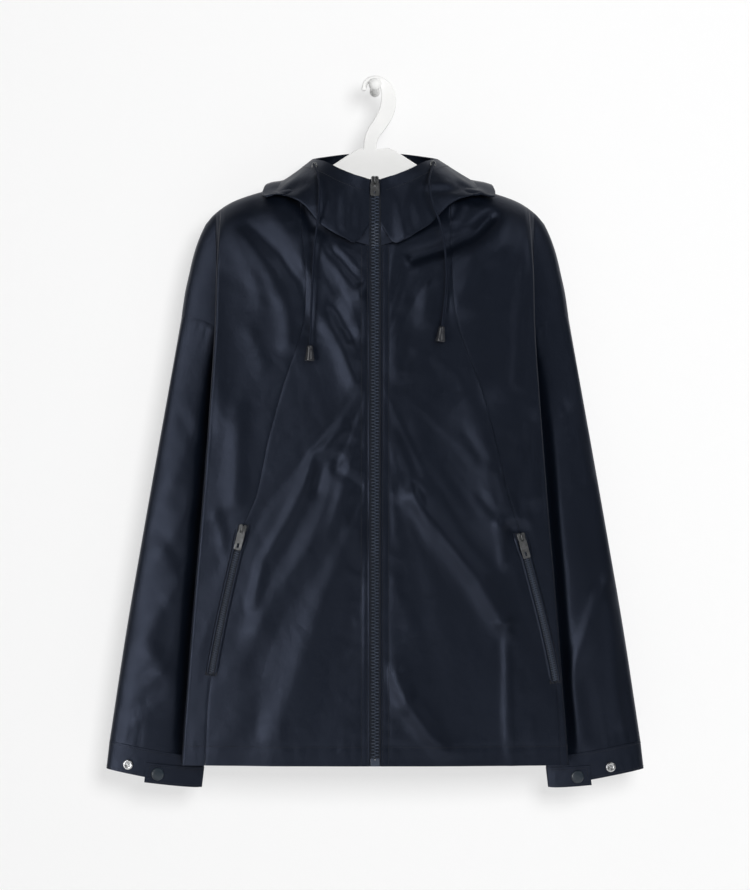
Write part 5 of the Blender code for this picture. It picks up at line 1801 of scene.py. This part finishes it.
@dataclass
class Hood:
    """The hood's two halves: from the neck seam over the fold to the free rim.

    Place 0 is the zip, 1 the shoulder, 2 the middle of the back.
    """

    form: BodyForm
    thickness: float = 1.2
    steps: int = 72
    front_lines: int = 64
    back_lines: int = 44
    lift: float = 0.9
    lean: float = 0.35
    casing: float = 15.0
    zip_flat: float = 8.0
    right_wing: float = 1.08
    wing_place: float = 0.95
    wing_reach: float = 0.3
    ripple_rise: float = 0.5
    cut: Cut = Cut(0.330, 0.400, 0.057)
    # Place, then x, y and z of the fold
    fold: tuple[Curve, ...] = curves(
        (0, 7, -109, -170),
        (0.16, 22, -110, -192),
        (0.32, 36, -112, -187),
        (0.58, 64, -112, -171),
        (0.79, 90, -103, -143),
        (0.9, 117, -89, -134),
        (0.95, 134, -82, -136),
        (1, 131, -60, -121.5),
        (1.2, 129, -24, -158),
        (1.55, 86, -9, -240),
        (2, 0, -8, -280),
    )
    # Place, then x, y and z of the rim, how far the cloth puffs out and how far it stands up
    rim: tuple[Curve, ...] = curves(
        (0, 7, -107, -118, 0, 8),
        (0.16, 16, -106, -115, 0.5, 8),
        (0.32, 25, -103, -112, 1.5, 8),
        (0.58, 43, -96, -104, 3, 10),
        (0.79, 59, -85, -95, 1.5, 13),
        (0.9, 70, -72, -91, -2, 13),
        (1, 76, -57, -89, -5, 4.5),
        (1.2, 62, -34, -84, 5, 4),
        (1.55, 32, -22, -79, 6, 4),
        (2, 0, -19, -78, 6, 4),
    )
    creases: tuple[Fold, ...] = folds(
        (7, 1.0, -46, -138, -44, -178),
        (6, -0.8, -36, -128, -38, -172),
        (7, 0.9, -26, -142, -27, -172),
        (4, -1.4, -60, -120, -62, -160),
        (5, 1.4, -70, -114, -70, -150),
        (6, 1.4, -88, -112, -118, -128),
        (5, -1.2, -84, -122, -108, -134),
        (7, 0.8, 24, -130, 34, -180),
        (6, -0.8, 40, -126, 44, -176),
        (5, 1.0, 30, -118, 52, -108),
        (5, 1.5, 54, -124, 92, -122),
        (4, -1.4, 66, -132, 98, -130),
        (6, 1.4, 84, -112, 120, -124),
        (4, -1.2, 98, -122, 126, -132),
        (12, 2.0, -40, -200, -60, -262),
        (12, 2.0, 36, -190, 52, -256),
    )
    ripple: Ripples = Ripples(21)
    grids: dict[str, ClothGrid] = field(default_factory=dict)

    def reach(self, side: Side, place: float) -> float:
        """Widens the right wing over the shoulder."""
        wide = self.right_wing if side is RIGHT else 1.0
        return mix(1.0, wide, hump(place - self.wing_place, self.wing_reach))

    def neck(self, side: Side, place: float) -> Array:
        """Gives the neck seam's point at a place round the neck."""
        if place <= 1.0:
            return self.form.points(FRONT, side, place, 0.0, 1.0, fine=False)
        return self.form.points(BACK, side, 2.0 - place, 0.0, 1.0, fine=False)

    def line(self, side: Side, place: float) -> Array:
        """Makes one line of the hood from the neck seam over its fold to the rim."""
        fold = np.array([curve(place) for curve in self.fold])
        fold[0] *= side.sign * self.reach(side, place)
        *corner, puff, rise = (curve(place) for curve in self.rim)
        rim = np.array(corner)
        rim[0] *= side.sign
        neck = self.neck(side, place) + np.array((0.0, 0.0, self.lift))
        if place >= 2.0:
            neck[0] = fold[0] = rim[0] = side.sign * self.form.seam_gap / 2.0
        if abs(place - 1.0) < 1e-6:
            neck[1] = self.form.hang_plane
        outward = unit(neck - fold) + unit(rim - fold)
        across = rim - neck
        across = unit(across - outward * np.dot(across, outward) / max(np.dot(outward, outward), 1e-6))
        tilt = self.lean * min(1.0, 4.0 * abs(place - 1.0))
        stand = np.array((0.0, tilt if place > 1.0 else -tilt, 1.0)) * rise
        guides = np.array((
            neck,
            neck + stand,
            mix(neck, fold, 0.6) + stand * 0.6,
            mix(neck, fold, 0.9) - across * puff * 0.3,
            fold,
            mix(rim, fold, 0.85) + across * puff,
            mix(rim, fold, 0.5) + across * puff * 0.8,
            rim,
        ))
        return spline(guides, np.linspace(0.0, 1.0, self.steps + 1))

    def shape(self) -> None:
        """Works out both halves' points."""
        front = np.linspace(0.0, 1.0, self.front_lines + 1)
        back = np.linspace(1.0, 2.0, self.back_lines + 1)[1:]
        for side in SIDES:
            lines = [self.line(side, float(place)) for place in (*front, *back)]
            grid = ClothGrid(np.stack(lines, axis=1), side.flip)
            x, z = grid.points[..., 0], grid.points[..., 2]
            share = np.linspace(0.0, 1.0, self.steps + 1)[:, None]
            free = clamp(np.sin(math.pi * share)) ** 0.6
            inset = clamp((np.abs(x) - ZIP_EDGE) / self.zip_flat)
            ripple = self.ripple_rise * self.ripple((x + 0.6 * z) / 14.0, (z - 0.4 * x) / 34.0)
            grid = grid.pushed(free * inset * (relief(self.creases, x, z) + ripple))
            grid.normals[:, -1, 0] = 0.0
            grid.normals[:, -1] = unit(grid.normals[:, -1])
            self.grids[side.name] = grid

    def build(self, sewing: Sewing) -> None:
        """Adds both halves and the stitching of the rim's casing."""
        for side in SIDES:
            grid = self.grids[side.name]
            node = f"hood_{side.name}"
            piece = show(f"cloth_{node}", grid.wall(node, self.thickness), NYLON, [node])
            self.cut.declare(piece, [f"cloth_front_centre_{side.name}", "cloth_back"])
            sewing.row(*self._casing_line(grid))

    def _casing_line(self, grid: ClothGrid) -> tuple[Array, Array]:
        """Reads the line of stitches that holds the cord's casing along the rim."""
        columns = np.arange(6, grid.points.shape[1])
        rows = []
        for column in columns:
            run = lengths(grid.points[:, column])
            rows.append(np.interp(run[-1] - self.casing, run, np.arange(self.steps + 1)))
        return grid.sample(np.array(rows), columns)

    def seen_at(self, side: Side, x: float, z: float) -> tuple[Array, Array]:
        """Finds the point of the upper layer that is seen at a place, and its direction."""
        grid = self.grids[side.name]
        low = int(self.steps * 0.6)
        upper = grid.points[low:-3]
        gap = np.hypot(upper[..., 0] - x, upper[..., 2] - z)
        row, column = np.unravel_index(np.argmin(gap), gap.shape)
        return upper[row, column], grid.normals[low + row, column]


# Zips


@dataclass(frozen=True)
class Slider:
    """A zip's slider with its arch, and the pull tab that hangs from the arch."""

    pull_width: float
    pull_length: float
    rivet: float = 0.0
    half_width: float = 4.6
    top: float = 6.5
    bottom: float = -7.0
    thickness: float = 3.4
    arch_radius: float = 0.8
    hinge_rise: float = 4.8
    hinge_height: float = 2.0
    pull_thickness: float = 1.2
    pull_corner: float = 1.6
    foot_share: float = 0.72
    waist_share: float = 0.92
    bevel: float = 0.55
    pull_bevel: float = 0.22
    window_round: float = 0.55

    ARCH = ((2.04, 5.6), (5.1, 5.4), (6.7, 3.9), (6.7, -0.4), (5.1, -2.0), (2.04, -2.4))
    RIVET = ((0.02, 0.75), (0.7, 0.68), (1.2, 0.45), (1.5, 0.1), (1.55, -0.1))
    SHARP = math.radians(35.0)

    def seat(self, hinge: Frame) -> Frame:
        """Finds the slider's place from its hinge's."""
        return hinge.moved(0.0, -self.hinge_rise, -self.hinge_height)

    def hinge(self, seat: Frame) -> Frame:
        """Finds the hinge's place from the slider's."""
        return seat.moved(0.0, self.hinge_rise, self.hinge_height)

    def build_body(self, node: str, seat: Frame) -> None:
        """Adds the slider: a plate with two rounded lobes, a ridge on it and the arch."""
        foot = self.half_width * self.foot_share
        waist = self.half_width * self.waist_share
        lobe = self.half_width / 2.0
        outline = [(-foot, self.bottom), (foot, self.bottom), (waist, 0.0)]
        for centre in (lobe, -lobe):
            for k in range(13):
                angle = math.pi * k / 12.0
                outline.append((centre + lobe * math.cos(angle), self.top - lobe + lobe * math.sin(angle)))
        outline.append((-waist, 0.0))
        maker = MeshMaker(node)
        middle = seat.moved(0.0, self.thickness / 2.0, 0.0)
        maker.put(middle, plate([outline], self.thickness, self.bevel, 3))
        line = spline(np.array([(0.0, rise, up) for rise, up in self.ARCH]), np.linspace(0.0, 1.0, 28))
        maker.add(*tube(seat.place(line), self.arch_radius, 12))
        show(node, maker.mesh(self.SHARP), GUNMETAL, [node])

    def build_pull(self, node: str, hinge: Frame, body: Ride) -> None:
        """Adds the pull tab with its eye and slot."""
        half = self.pull_width / 2.0
        top = self.pull_thickness / 2.0
        foot = top - self.pull_length
        r = self.pull_corner
        corner = [(half - r + r * math.cos(a), foot + r - r * math.sin(a)) for a in np.linspace(0, 1.57, 6)]
        right = [(1.9, top), (2.9, top - 0.7), (half - 0.5, -4.4), (half, -5.4), *corner]
        outline = right + [(-across, up) for across, up in right[::-1]]
        eye = self._window(1.9, -top, -5.6)
        slot = self._window(1.3, foot + self.pull_length * 0.30, foot + 2.4)
        maker = MeshMaker(node)
        maker.put(hinge, plate([outline, eye, slot], self.pull_thickness, self.pull_bevel))
        if self.rivet:
            maker.put(hinge.moved(0.0, self.pull_thickness / 2.0, -self.rivet), lathe(self.RIVET, 20))
        show(node, maker.mesh(self.SHARP), GUNMETAL, [node], body)

    def _window(self, half: float, top: float, foot: float) -> list[tuple[float, float]]:
        """Lists the corners of a hole with rounded ends."""
        rise = half * self.window_round
        turns = [(half * math.cos(a), rise * math.sin(a)) for a in np.linspace(0.0, math.pi, 7)]
        upper = [(across, top - rise + up) for across, up in turns]
        lower = [(-across, foot + rise - up) for across, up in turns]
        return upper + lower


@dataclass(frozen=True)
class Chain:
    """A row of moulded teeth, one side's between the other's."""

    half_width: float
    pitch: float
    tooth_width: float
    tooth_height: float
    tooth_rise: float

    FACES = [
        *((low + i, low + (i + 1) % 8, low + 8 + (i + 1) % 8, low + 8 + i)
          for low in (0, 8) for i in range(8)),
        tuple(range(16, 24)),
    ]
    SHARP = math.radians(30.0)

    def _tooth(self, sign: int) -> Array:
        """Gives a tooth's points: across, out, up; its head is narrower than its root."""
        w, h = self.tooth_width / 2.0, self.tooth_height / 2.0
        corners = (
            (w, -0.45 * h), (w, 0.45 * h), (0.55 * w, h), (-0.5 * w, h),
            (-w, 0.8 * h), (-w, -0.8 * h), (-0.5 * w, -h), (0.55 * w, -h),
        )
        levels = ((0.0, 1.0), (self.tooth_rise * 0.62, 1.0), (self.tooth_rise, 0.72))
        points = np.array([(across * s, out, up * s) for out, s in levels for across, up in corners])
        points[:, 0] *= -sign
        points[:, 0] += sign * (self.half_width - w)
        return points

    def build(
        self, node: str, line: Array, normals: Array, across: Array, box_at: Optional[Array] = None
    ) -> None:
        """Adds the teeth along a line.

        Args:
            node: the solid that they stand for, and their name.
            line: the line's points.
            normals: the way out of the tape at each.
            across: the way across the tape at each.
            box_at: where a box is set at the line's start, if there is one.
        """
        run = lengths(line)
        maker = MeshMaker(node)
        for sign, start in ((-1, 0.5), (1, 1.0)):
            places = np.arange(start * self.pitch, run[-1] - 0.2, self.pitch)
            centres = resampled(line, places)
            outs = unit(read_along(normals, run, places))
            sides = read_along(across, run, places)
            sides = unit(sides - outs * np.sum(sides * outs, axis=1, keepdims=True))
            axes = np.stack((sides, outs, np.cross(outs, sides)), axis=1)
            faces = self.FACES if sign < 0 else [face[::-1] for face in self.FACES]
            maker.repeat(self._tooth(sign), faces, centres, axes)
        if box_at is not None:
            maker.put(Frame.on(box_at, DOWN, TO_FRONT).moved(0.0, 0.1, 0.0), self._box())
        show(node, maker.mesh(self.SHARP), TEETH, [node])

    def _box(self) -> Shape:
        """Makes the retainer box at the foot of the chain."""
        w = self.half_width + 0.9
        outline = (
            (-w, 0.0), (w, 0.0), (w, 8.6), (w - 1.0, 9.8), (0.9, 9.8),
            (0.6, 7.4), (-0.6, 7.4), (-0.9, 9.8), (1.0 - w, 9.8), (-w, 8.6),
        )
        return plate([outline], 3.0, 0.4)


MAIN_SLIDER = Slider(pull_width=10.6, pull_length=20.0, rivet=7.6)
POCKET_SLIDER = Slider(pull_width=9.0, pull_length=27.0)
MAIN_CHAIN = Chain(half_width=4.6, pitch=3.95, tooth_width=5.8, tooth_height=1.7, tooth_rise=2.5)
POCKET_CHAIN = Chain(half_width=2.9, pitch=2.9, tooth_width=3.8, tooth_height=1.3, tooth_rise=1.2)


@dataclass
class MainZip:
    """The front zip from the hem to the hood's rim."""

    cloth: BodyCloth
    hood: Hood
    tape_places: tuple[float, ...] = (0.4, 2.0, 4.0, 7.0, 9.0, 11.5)
    tape_thickness: float = 0.9
    tape_lift: float = -1.65
    box_height: float = 9.8
    hinge_spot: Triple = (0.0, -110.854, -119.039)
    tape_cut: Cut = Cut(0.0113, 0.730, 0.0081, Held.STRETCHED)

    def edge(self, side: Side) -> tuple[Array, Array]:
        """Lists the front edge's points and directions from the hem to the hood's rim."""
        front, hood = self.cloth.fronts[side.name], self.hood.grids[side.name]
        points = np.concatenate((front.points[:, 0], hood.points[:, 0]))
        normals = np.concatenate((front.normals[:, 0], hood.normals[:, 0]))
        normals[:, 0] = 0.0
        return points, unit(normals)

    def build(self) -> None:
        """Adds tapes, teeth, slider and pull."""
        places = np.array(self.tape_places)
        for side in SIDES:
            points, normals = self.edge(side)
            rows = [stacked(side.sign * places, y, z) for _, y, z in points]
            spread = np.repeat(normals[:, None, :], len(places), axis=1)
            grid = ClothGrid(np.stack(rows), side.flip, normals=spread)
            node = f"zip_tape_{side.name}"
            piece = show(node, grid.wall(node, self.tape_thickness, self.tape_lift), TAPE, [node])
            self.tape_cut.declare(piece, [f"cloth_front_centre_{side.name}"])
        frame = self.hinge()
        self._teeth(MAIN_SLIDER.seat(frame))
        MAIN_SLIDER.build_body("zip_slider", MAIN_SLIDER.seat(frame))
        MAIN_SLIDER.build_pull("zip_pull", frame, Ride.MAIN_PULL)

    def hinge(self) -> Frame:
        """Finds the frame of the pull's hinge."""
        points, normals = self.edge(LEFT)
        top = points[-1]
        below = points[-1 - int(self.hood.steps * 0.3)]
        return Frame.on(np.array(self.hinge_spot), below - top, normals[-1])

    def _teeth(self, seat: Frame) -> None:
        """Adds the teeth from the box at the hem to the slider."""
        left, left_normals = self.edge(LEFT)
        right, right_normals = self.edge(RIGHT)
        line = (left + right) / 2.0
        normals = unit(left_normals + right_normals)
        line = line + normals * (self.tape_lift + 0.3)
        run = lengths(line)
        gap = np.linalg.norm(line - seat.moved(0.0, 0.0, MAIN_SLIDER.bottom).origin, axis=1)
        places = np.linspace(self.box_height, run[int(np.argmin(gap))], 500)
        across = np.repeat(np.array([[1.0, 0.0, 0.0]]), len(places), axis=0)
        outs = read_along(normals, run, places)
        MAIN_CHAIN.build("zip_chain", resampled(line, places), outs, across, line[0])


@dataclass
class PocketZip:
    """One pocket's zip, on the panel seam."""

    form: BodyForm
    cloth: BodyCloth
    side: Side
    lift: float = 0.45
    tape: float = 0.9
    half_width: float = 6.5
    chain_start: float = 2.0
    chain_gap: float = 0.4
    chain_lift: float = 0.05
    tack_lift: float = 0.2
    tack_over: float = 3.0
    lip_thickness: float = 0.5
    lip_end: float = 7.0
    lip_end_least: float = 0.12
    lip_spread: float = 1.5
    lip_spread_reach: float = 30.0
    lip_spread_fade: float = 9.0
    lip_sink: float = 12.0
    lip_sink_least: float = 0.1
    tape_cut: Cut = Cut(0.0131, 0.190, 0.0024, Held.STRETCHED)
    lip_cut: Cut = Cut(0.010, 0.190, 0.00102, Held.FOLDED)

    LIP = ((7.6, 0.3), (7.0, 0.9), (6.3, 1.5), (5.6, 1.95), (4.8, 2.05), (4.2, 1.85), (3.9, 1.5))

    def seat(self) -> Frame:
        """Finds the slider's place from the cloth's main form."""
        side = self.side
        columns = np.array((1.0 - 1.0 / 6.0, 1.0, 1.25))[None, :]
        heights = np.array((
            mix(side.pocket_end, side.pocket_top, 5.0 / 6.0),
            side.pocket_top,
            mix(side.pocket_top, self.form.armpit_height, 0.25),
        ))[:, None]
        points = self.form.points(FRONT, side, columns, heights, 0.0, fine=False)
        grid = ClothGrid(points, side.flip)
        seam, normal = grid.points[1, 1], grid.normals[1, 1]
        down = unit(grid.points[0, 1] - seam)
        out = 2.0 * self.lift + self.tape + self.form.seam_gap
        return Frame.on(seam + down * POCKET_SLIDER.top + normal * out, down, normal)

    def line(self) -> tuple[Array, Array, Array, Array]:
        """Reads the seam from the pocket's end up: points, directions, the way in and the way out."""
        grid = self.cloth.fronts[self.side.name]
        seam = self.cloth.nearest_column(Column.SEAM)
        heights, _ = self.cloth.levels()
        body = heights[: self.cloth.body_rows]
        ends = np.interp((self.side.pocket_end, self.side.pocket_top), body, np.arange(len(body)))
        rows = np.linspace(ends[0], ends[1], 70)
        points, normals = grid.sample(rows, seam)
        inner, _ = grid.sample(rows, seam - 7)
        outer, _ = grid.sample(rows, seam + 5)
        return points, normals, unit(inner - points), unit(outer - points)

    def build(self, sewing: Sewing) -> None:
        """Adds the tape, its lips of cloth, the teeth, the slider and the pull."""
        name = self.side.name
        points, normals, inward, outward = self.line()
        steps = np.linspace(-self.half_width, self.half_width, 9)
        rows = [points + max(-step, 0.0) * inward + max(step, 0.0) * outward for step in steps]
        spread = np.repeat(normals[:, None, :], len(steps), axis=1)
        tape = ClothGrid(np.stack(rows, axis=1), self.side.flip, normals=spread)
        node = f"pocket_tape_{name}"
        top = self.lift + self.tape
        piece = show(node, tape.wall(node, self.tape, top), TAPE, [node])
        self.tape_cut.declare(piece, [f"cloth_front_centre_{name}"])
        self._lips(points, normals, inward, outward)
        seat = self.seat()
        hinge = POCKET_SLIDER.hinge(seat)
        clear = POCKET_SLIDER.top - POCKET_SLIDER.bottom + self.chain_gap
        run = lengths(points)
        places = np.linspace(self.chain_start, run[-1] - clear, 200)
        line = resampled(points + normals * (top + self.chain_lift), places)
        outs = read_along(normals, run, places)
        sides = read_along(self.side.sign * (outward - inward), run, places)
        POCKET_CHAIN.build(f"pocket_chain_{name}", line, outs, sides)
        POCKET_SLIDER.build_body(f"pocket_slider_{name}", seat)
        POCKET_SLIDER.build_pull(f"pocket_pull_{name}", hinge, self.side.pull)
        end = points[0] + normals[0] * (top + self.tack_lift)
        foot = Frame.on(end, points[0] - points[4], normals[0])
        sewing.tack(foot, 2.0 * self.half_width + self.tack_over)
        LOG.info("pocket %s hinge at %s", name, np.round(hinge.origin, 3).tolist())

    def _lips(self, points: Array, normals: Array, inward: Array, outward: Array) -> None:
        """Adds the folded edges of cloth beside the tape."""
        run = lengths(points)[:, None]
        to_end = (1.0 - run / self.lip_end).clip(0.0)
        round_end = np.sqrt(np.clip(1.0 - to_end**2, self.lip_end_least, 1.0))
        spread = self.lip_spread * clamp((run - run[-1] + self.lip_spread_reach) / self.lip_spread_fade)
        sunk_top = np.clip((run[-1] - run) / self.lip_sink, self.lip_sink_least, 1.0)
        for kind, way, flip in (("inner", inward, self.side.flip), ("outer", outward, not self.side.flip)):
            rows = [points + way * (reach * round_end + spread) + normals * rise * sunk_top
                    for reach, rise in self.LIP]
            grid = ClothGrid(np.stack(rows, axis=1), flip)
            name = f"pocket_lip_{self.side.name}_{kind}"
            piece = show(name, grid.wall(name, self.lip_thickness), NYLON)
            self.lip_cut.declare(piece, [f"pocket_tape_{self.side.name}"])


# Drawcords


@dataclass
class Drawcord:
    """One free end of the hood's drawcord, with its eyelet and bell-shaped end."""

    hood: Hood
    side: Side
    eyelet: tuple[float, float]
    route: tuple[Triple, ...]
    radius: float = 1.3
    rise: float = 3.4
    end_gap: float = 0.3
    strands: int = 8
    braid: float = 0.16
    braid_pitch: float = 7.0
    sides: int = 20

    EYELET = (
        (2.0, 0.0), (2.0, 0.6), (2.2, 0.9), (2.6, 1.08), (3.2, 1.15),
        (3.8, 1.0), (4.2, 0.65), (4.4, 0.25), (4.4, 0.0),
    )
    BELL = (
        (0.02, 0.0), (2.4, 0.0), (3.2, -0.35), (3.7, -1.2), (3.9, -3.0), (4.2, -6.0), (4.8, -10.0),
        (5.6, -14.0), (6.1, -16.4), (6.2, -17.2), (6.0, -18.0), (5.4, -18.4), (4.6, -18.5), (4.2, -18.0),
        (3.6, -16.5), (0.02, -16.2),
    )

    def line(self) -> Array:
        """Makes the cord's centre line from the eyelet down."""
        spot, normal = self.hood.seen_at(self.side, *self.eyelet)
        guides = np.array([spot + normal * self.rise, *self.route])
        smooth = spline(guides, np.linspace(0.0, 1.0, 400))
        return resampled(smooth, np.arange(0.0, lengths(smooth)[-1], 0.8))

    def build(self) -> None:
        """Adds the eyelet, the braided cord and the bell end."""
        name = self.side.name
        spot, normal = self.hood.seen_at(self.side, *self.eyelet)
        ring = MeshMaker("eyelet")
        ring.put(Frame.on(spot + normal * 0.45, DOWN, normal), lathe(self.EYELET, 36))
        show(f"eyelet_{name}", ring.mesh(), GUNMETAL, [f"eyelet_{name}"])
        line = self.line()
        run = lengths(line)
        half = self.strands / 2.0
        turn = np.arange(self.sides) * 2.0 * math.pi / self.sides * half
        wind = 2.0 * math.pi * run[:, None] / self.braid_pitch * half / 2.0
        over = np.abs(np.sin(turn + wind)) + np.abs(np.sin(turn - wind))
        maker = MeshMaker("cord")
        maker.add(*tube(line, self.radius + self.braid * (over - 1.2), self.sides))
        cord = show(f"cord_{name}", maker.mesh(math.radians(80.0)), CORD, [f"cord_{name}"])
        bell = self._bell(line)
        tuple((line[0] * MM).tolist())
        [tuple(point) for point in (line[::8] * MM).tolist()] + [tuple((line[-1] * MM).tolist())]
        LOG.info("cord %s is %.1f mm long", name, run[-1])

    def _bell(self, line: Array) -> bpy.types.Object:
        """Adds the bell-shaped end."""
        down = unit(line[-1] - line[-4])
        across = unit(np.cross(down, (0.0, 1.0, 0.0)))
        frame = Frame(line[-1] + down * self.end_gap, across, -down, np.cross(-down, across))
        maker = MeshMaker("cord_end")
        maker.put(frame, lathe(self.BELL, 40))
        name = f"cord_end_{self.side.name}"
        return show(name, maker.mesh(math.radians(60.0)), CORD_END, [name])


# Hanger and peg


@dataclass
class Hanger:
    """The one-piece hanger: a flat strip of a hook and two arms."""

    form: BodyForm
    thickness: float = 7.0
    bevel: float = 1.6
    drop: float = 3.4

    HOOK = (
        (-6.0, -78.0, 8.0), (-5.5, -68.0, 8.0), (-1.5, -57.0, 8.4), (7.0, -45.0, 9.0),
        (14.5, -30.0, 9.4), (16.5, -15.0, 9.0), (12.6, -1.0, 6.8), (4.0, 7.3, 4.2),
        (-5.0, 7.6, 3.4), (-11.5, 3.0, 3.0), (-13.5, -4.0, 2.8),
    )
    ARM_TOP = ((16.0, -75.5), (26.0, -80.0), (52.0, -97.0), (91.0, -123.0))
    ARM_UNDER = ((182.0, -176.0), (150.0, -166.0), (95.0, -156.0), (45.0, -146.0))

    def outline(self) -> list[tuple[float, float]]:
        """Lists the outline: hook, left arm, underside, right arm."""
        stations = spline(np.array(self.HOOK), np.linspace(0.0, 1.0, 90))
        line = stations[:, :2]
        ahead = unit(np.gradient(line, axis=0))
        across = np.stack((ahead[:, 1], -ahead[:, 0]), axis=1) * stations[:, 2:]
        right, left = line + across, line - across
        turn = np.linspace(math.pi, 0.0, 12)[1:-1, None]
        tip = line[-1] + np.cos(turn) * across[-1] + np.sin(turn) * ahead[-1] * stations[-1, 2]
        hook = [*right.tolist(), *tip[::-1].tolist(), *left[::-1].tolist()]
        shoulder = np.linspace(91.0, 183.0, 24)[1:]
        tops = np.stack((shoulder, self.form.shoulder(shoulder) - self.drop), axis=1)
        arm = [*self.ARM_TOP, *tops.tolist()]
        upper = spline(np.array([(*point, 0.0) for point in self.ARM_UNDER]), np.linspace(0.0, 1.0, 24))
        right_arm = [*arm, *[(float(x), float(z)) for x, z, _ in upper]]
        left_arm = [(-x, z) for x, z in right_arm]
        return [*hook[1:-1], *left_arm, (0.0, -140.0), *right_arm[::-1]]

    def build(self) -> None:
        """Adds the hanger with rounded edges."""
        frame = Frame.on(np.array((0.0, self.form.hang_plane, 0.0)), DOWN, TO_FRONT)
        maker = MeshMaker("hanger")
        maker.put(frame, plate([self.outline()], self.thickness, self.bevel, 3))
        show("hanger", maker.mesh(math.radians(40.0)), WHITE, ["hanger"])


@dataclass
class WallPeg:
    """The peg that carries the hanger: a flange, a stem and a round knob."""

    length: float = 78.0
    stem: float = 3.0
    knob: float = 7.8
    flange: float = 6.5

    def build(self) -> None:
        """Adds the peg."""
        ball = [(max(0.02, self.knob * math.sin(a)), self.length - self.knob + self.knob * math.cos(a))
                for a in np.linspace(0.0, 2.6, 26)]
        neck = [
            (self.stem + 0.5, self.length - 15.6), (self.stem, self.length - 18.0), (self.stem, 6.0),
            (self.stem + 0.6, 4.8), (self.flange - 1.2, 4.1), (self.flange - 0.3, 3.6), (self.flange, 2.8),
            (self.flange, 0.0), (0.02, 0.0),
        ]
        maker = MeshMaker("wall_peg")
        maker.put(Frame.on(np.zeros(3), DOWN, TO_FRONT), lathe([*ball, *neck], 56))
        show("wall_peg", maker.mesh(), WHITE, ["wall_peg"])


# Studio


@dataclass(frozen=True)
class Lamp:
    """A soft box, in metres and watts."""

    name: str
    place: Triple
    size: float
    power: float
    lights: bool = True
    gleams: bool = True

    AIM = Vector((0.0, 0.0, -0.42))

    def build(self) -> None:
        """Adds the lamp and turns it to what it lights; some only light, some only show as a gleam."""
        light = bpy.data.lights.new(self.name, "AREA")
        light.shape = "SQUARE"
        light.size = self.size
        light.energy = self.power
        holder = bpy.data.objects.new(self.name, light)
        holder.location = self.place
        holder.rotation_euler = (self.AIM - Vector(self.place)).to_track_quat("-Z", "Y").to_euler()
        holder.visible_diffuse = self.lights
        holder.visible_glossy = self.gleams
        link(holder)


@dataclass
class Studio:
    """Camera, lamps, wall and floor."""

    camera_place: Triple = (0.0, -3.294, -0.4356)
    lens: float = 108.0
    sensor: float = 36.0
    wall_gap: float = 0.002
    floor_height: float = -1.35
    half_width: float = 2.6
    wall_top: float = 1.7
    floor_reach: float = 4.2
    world: float = 0.07
    lamps: tuple[Lamp, ...] = (
        Lamp("key", (0.78, -3.1, 0.38), size=1.1, power=93.0, gleams=False),
        Lamp("sheen_low", (-1.9, -2.2, -1.0), size=1.1, power=28.0, lights=False),
        Lamp("sheen_high", (-1.7, -2.3, 0.45), size=1.1, power=12.0, lights=False),
        Lamp("sheen_right", (1.6, -2.3, 1.2), size=1.2, power=11.0, lights=False),
    )

    def build_camera(self) -> None:
        """Sets the camera straight in front of the jacket."""
        camera = bpy.data.cameras.new("camera")
        camera.lens = self.lens
        camera.sensor_width = self.sensor
        holder = bpy.data.objects.new("camera", camera)
        holder.location = self.camera_place
        holder.rotation_euler = (math.pi / 2.0, 0.0, 0.0)
        link(holder)
        bpy.context.scene.camera = holder

    def build(self) -> None:
        """Adds the lamps, the world's grey, the wall and the floor."""
        for lamp in self.lamps:
            lamp.build()
        world = bpy.data.worlds.new("studio")
        world.use_nodes = True
        background = world.node_tree.nodes["Background"]
        background.inputs["Color"].default_value = (self.world, self.world, self.world, 1.0)
        bpy.context.scene.world = world
        bpy.context.scene.view_settings.view_transform = "Standard"
        w, back, low = self.half_width, self.wall_gap, self.floor_height
        wall = [(-w, back, low), (w, back, low), (w, back, self.wall_top), (-w, back, self.wall_top)]
        floor = [(-w, -self.floor_reach, low), (w, -self.floor_reach, low), (w, back, low), (-w, back, low)]
        for name, corners, paint in (("wall", wall, WALL), ("floor", floor, FLOOR)):
            mesh = bpy.data.meshes.new(name)
            mesh.from_pydata(corners, [], [(0, 1, 2, 3)])
            mesh.materials.append(paint.material())
            piece = bpy.data.objects.new(name, mesh)
            link(piece)


LEFT_CORD = (
    (-69, -101, -110), (-66.5, -112, -124), (-66, -118, -138), (-67, -118, -154), (-69, -115, -174),
    (-72, -111.5, -196), (-74, -109.5, -225), (-75.5, -108.5, -262), (-77, -108.2, -296),
    (-77.6, -108.2, -317),
)
RIGHT_CORD = (
    (66.5, -103, -110), (64.5, -112, -121), (65.5, -118, -134), (70, -118, -152), (77, -115, -170),
    (82, -111.5, -191), (84.5, -109.5, -216), (85, -108.5, -242), (82.5, -108.2, -270),
    (79.8, -108.2, -294),
)


def main() -> None:
    """Builds the camera and the cords, then the jacket from the inside out and the studio."""
    logging.basicConfig(level=logging.INFO, format="%(name)s: %(message)s")
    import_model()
    studio = Studio()
    studio.build_camera()
    form = BodyForm()
    hood = Hood(form)
    hood.shape()
    Drawcord(hood, LEFT, (-72.0, -98.5), LEFT_CORD).build()
    Drawcord(hood, RIGHT, (69.6, -97.0), RIGHT_CORD).build()
    sewing = Sewing("stitching")
    Hanger(form).build()
    WallPeg().build()
    cloth = BodyCloth(form)
    cloth.build_fronts()
    cloth.build_back()
    cloth.stitch(sewing)
    hood.build(sewing)
    for side in SIDES:
        Sleeve(form, side).build()
    Cuff(form, LEFT, tab_end=3.55, cap=4.2, socket=2.53).build(sewing)
    Cuff(form, RIGHT, tab_end=4.3, cap=5.0, socket=3.2).build(sewing)
    MainZip(cloth, hood).build()
    for side in SIDES:
        PocketZip(form, cloth, side).build(sewing)
    sewing.build()
    studio.build()


if __name__ == "__main__":
    main()
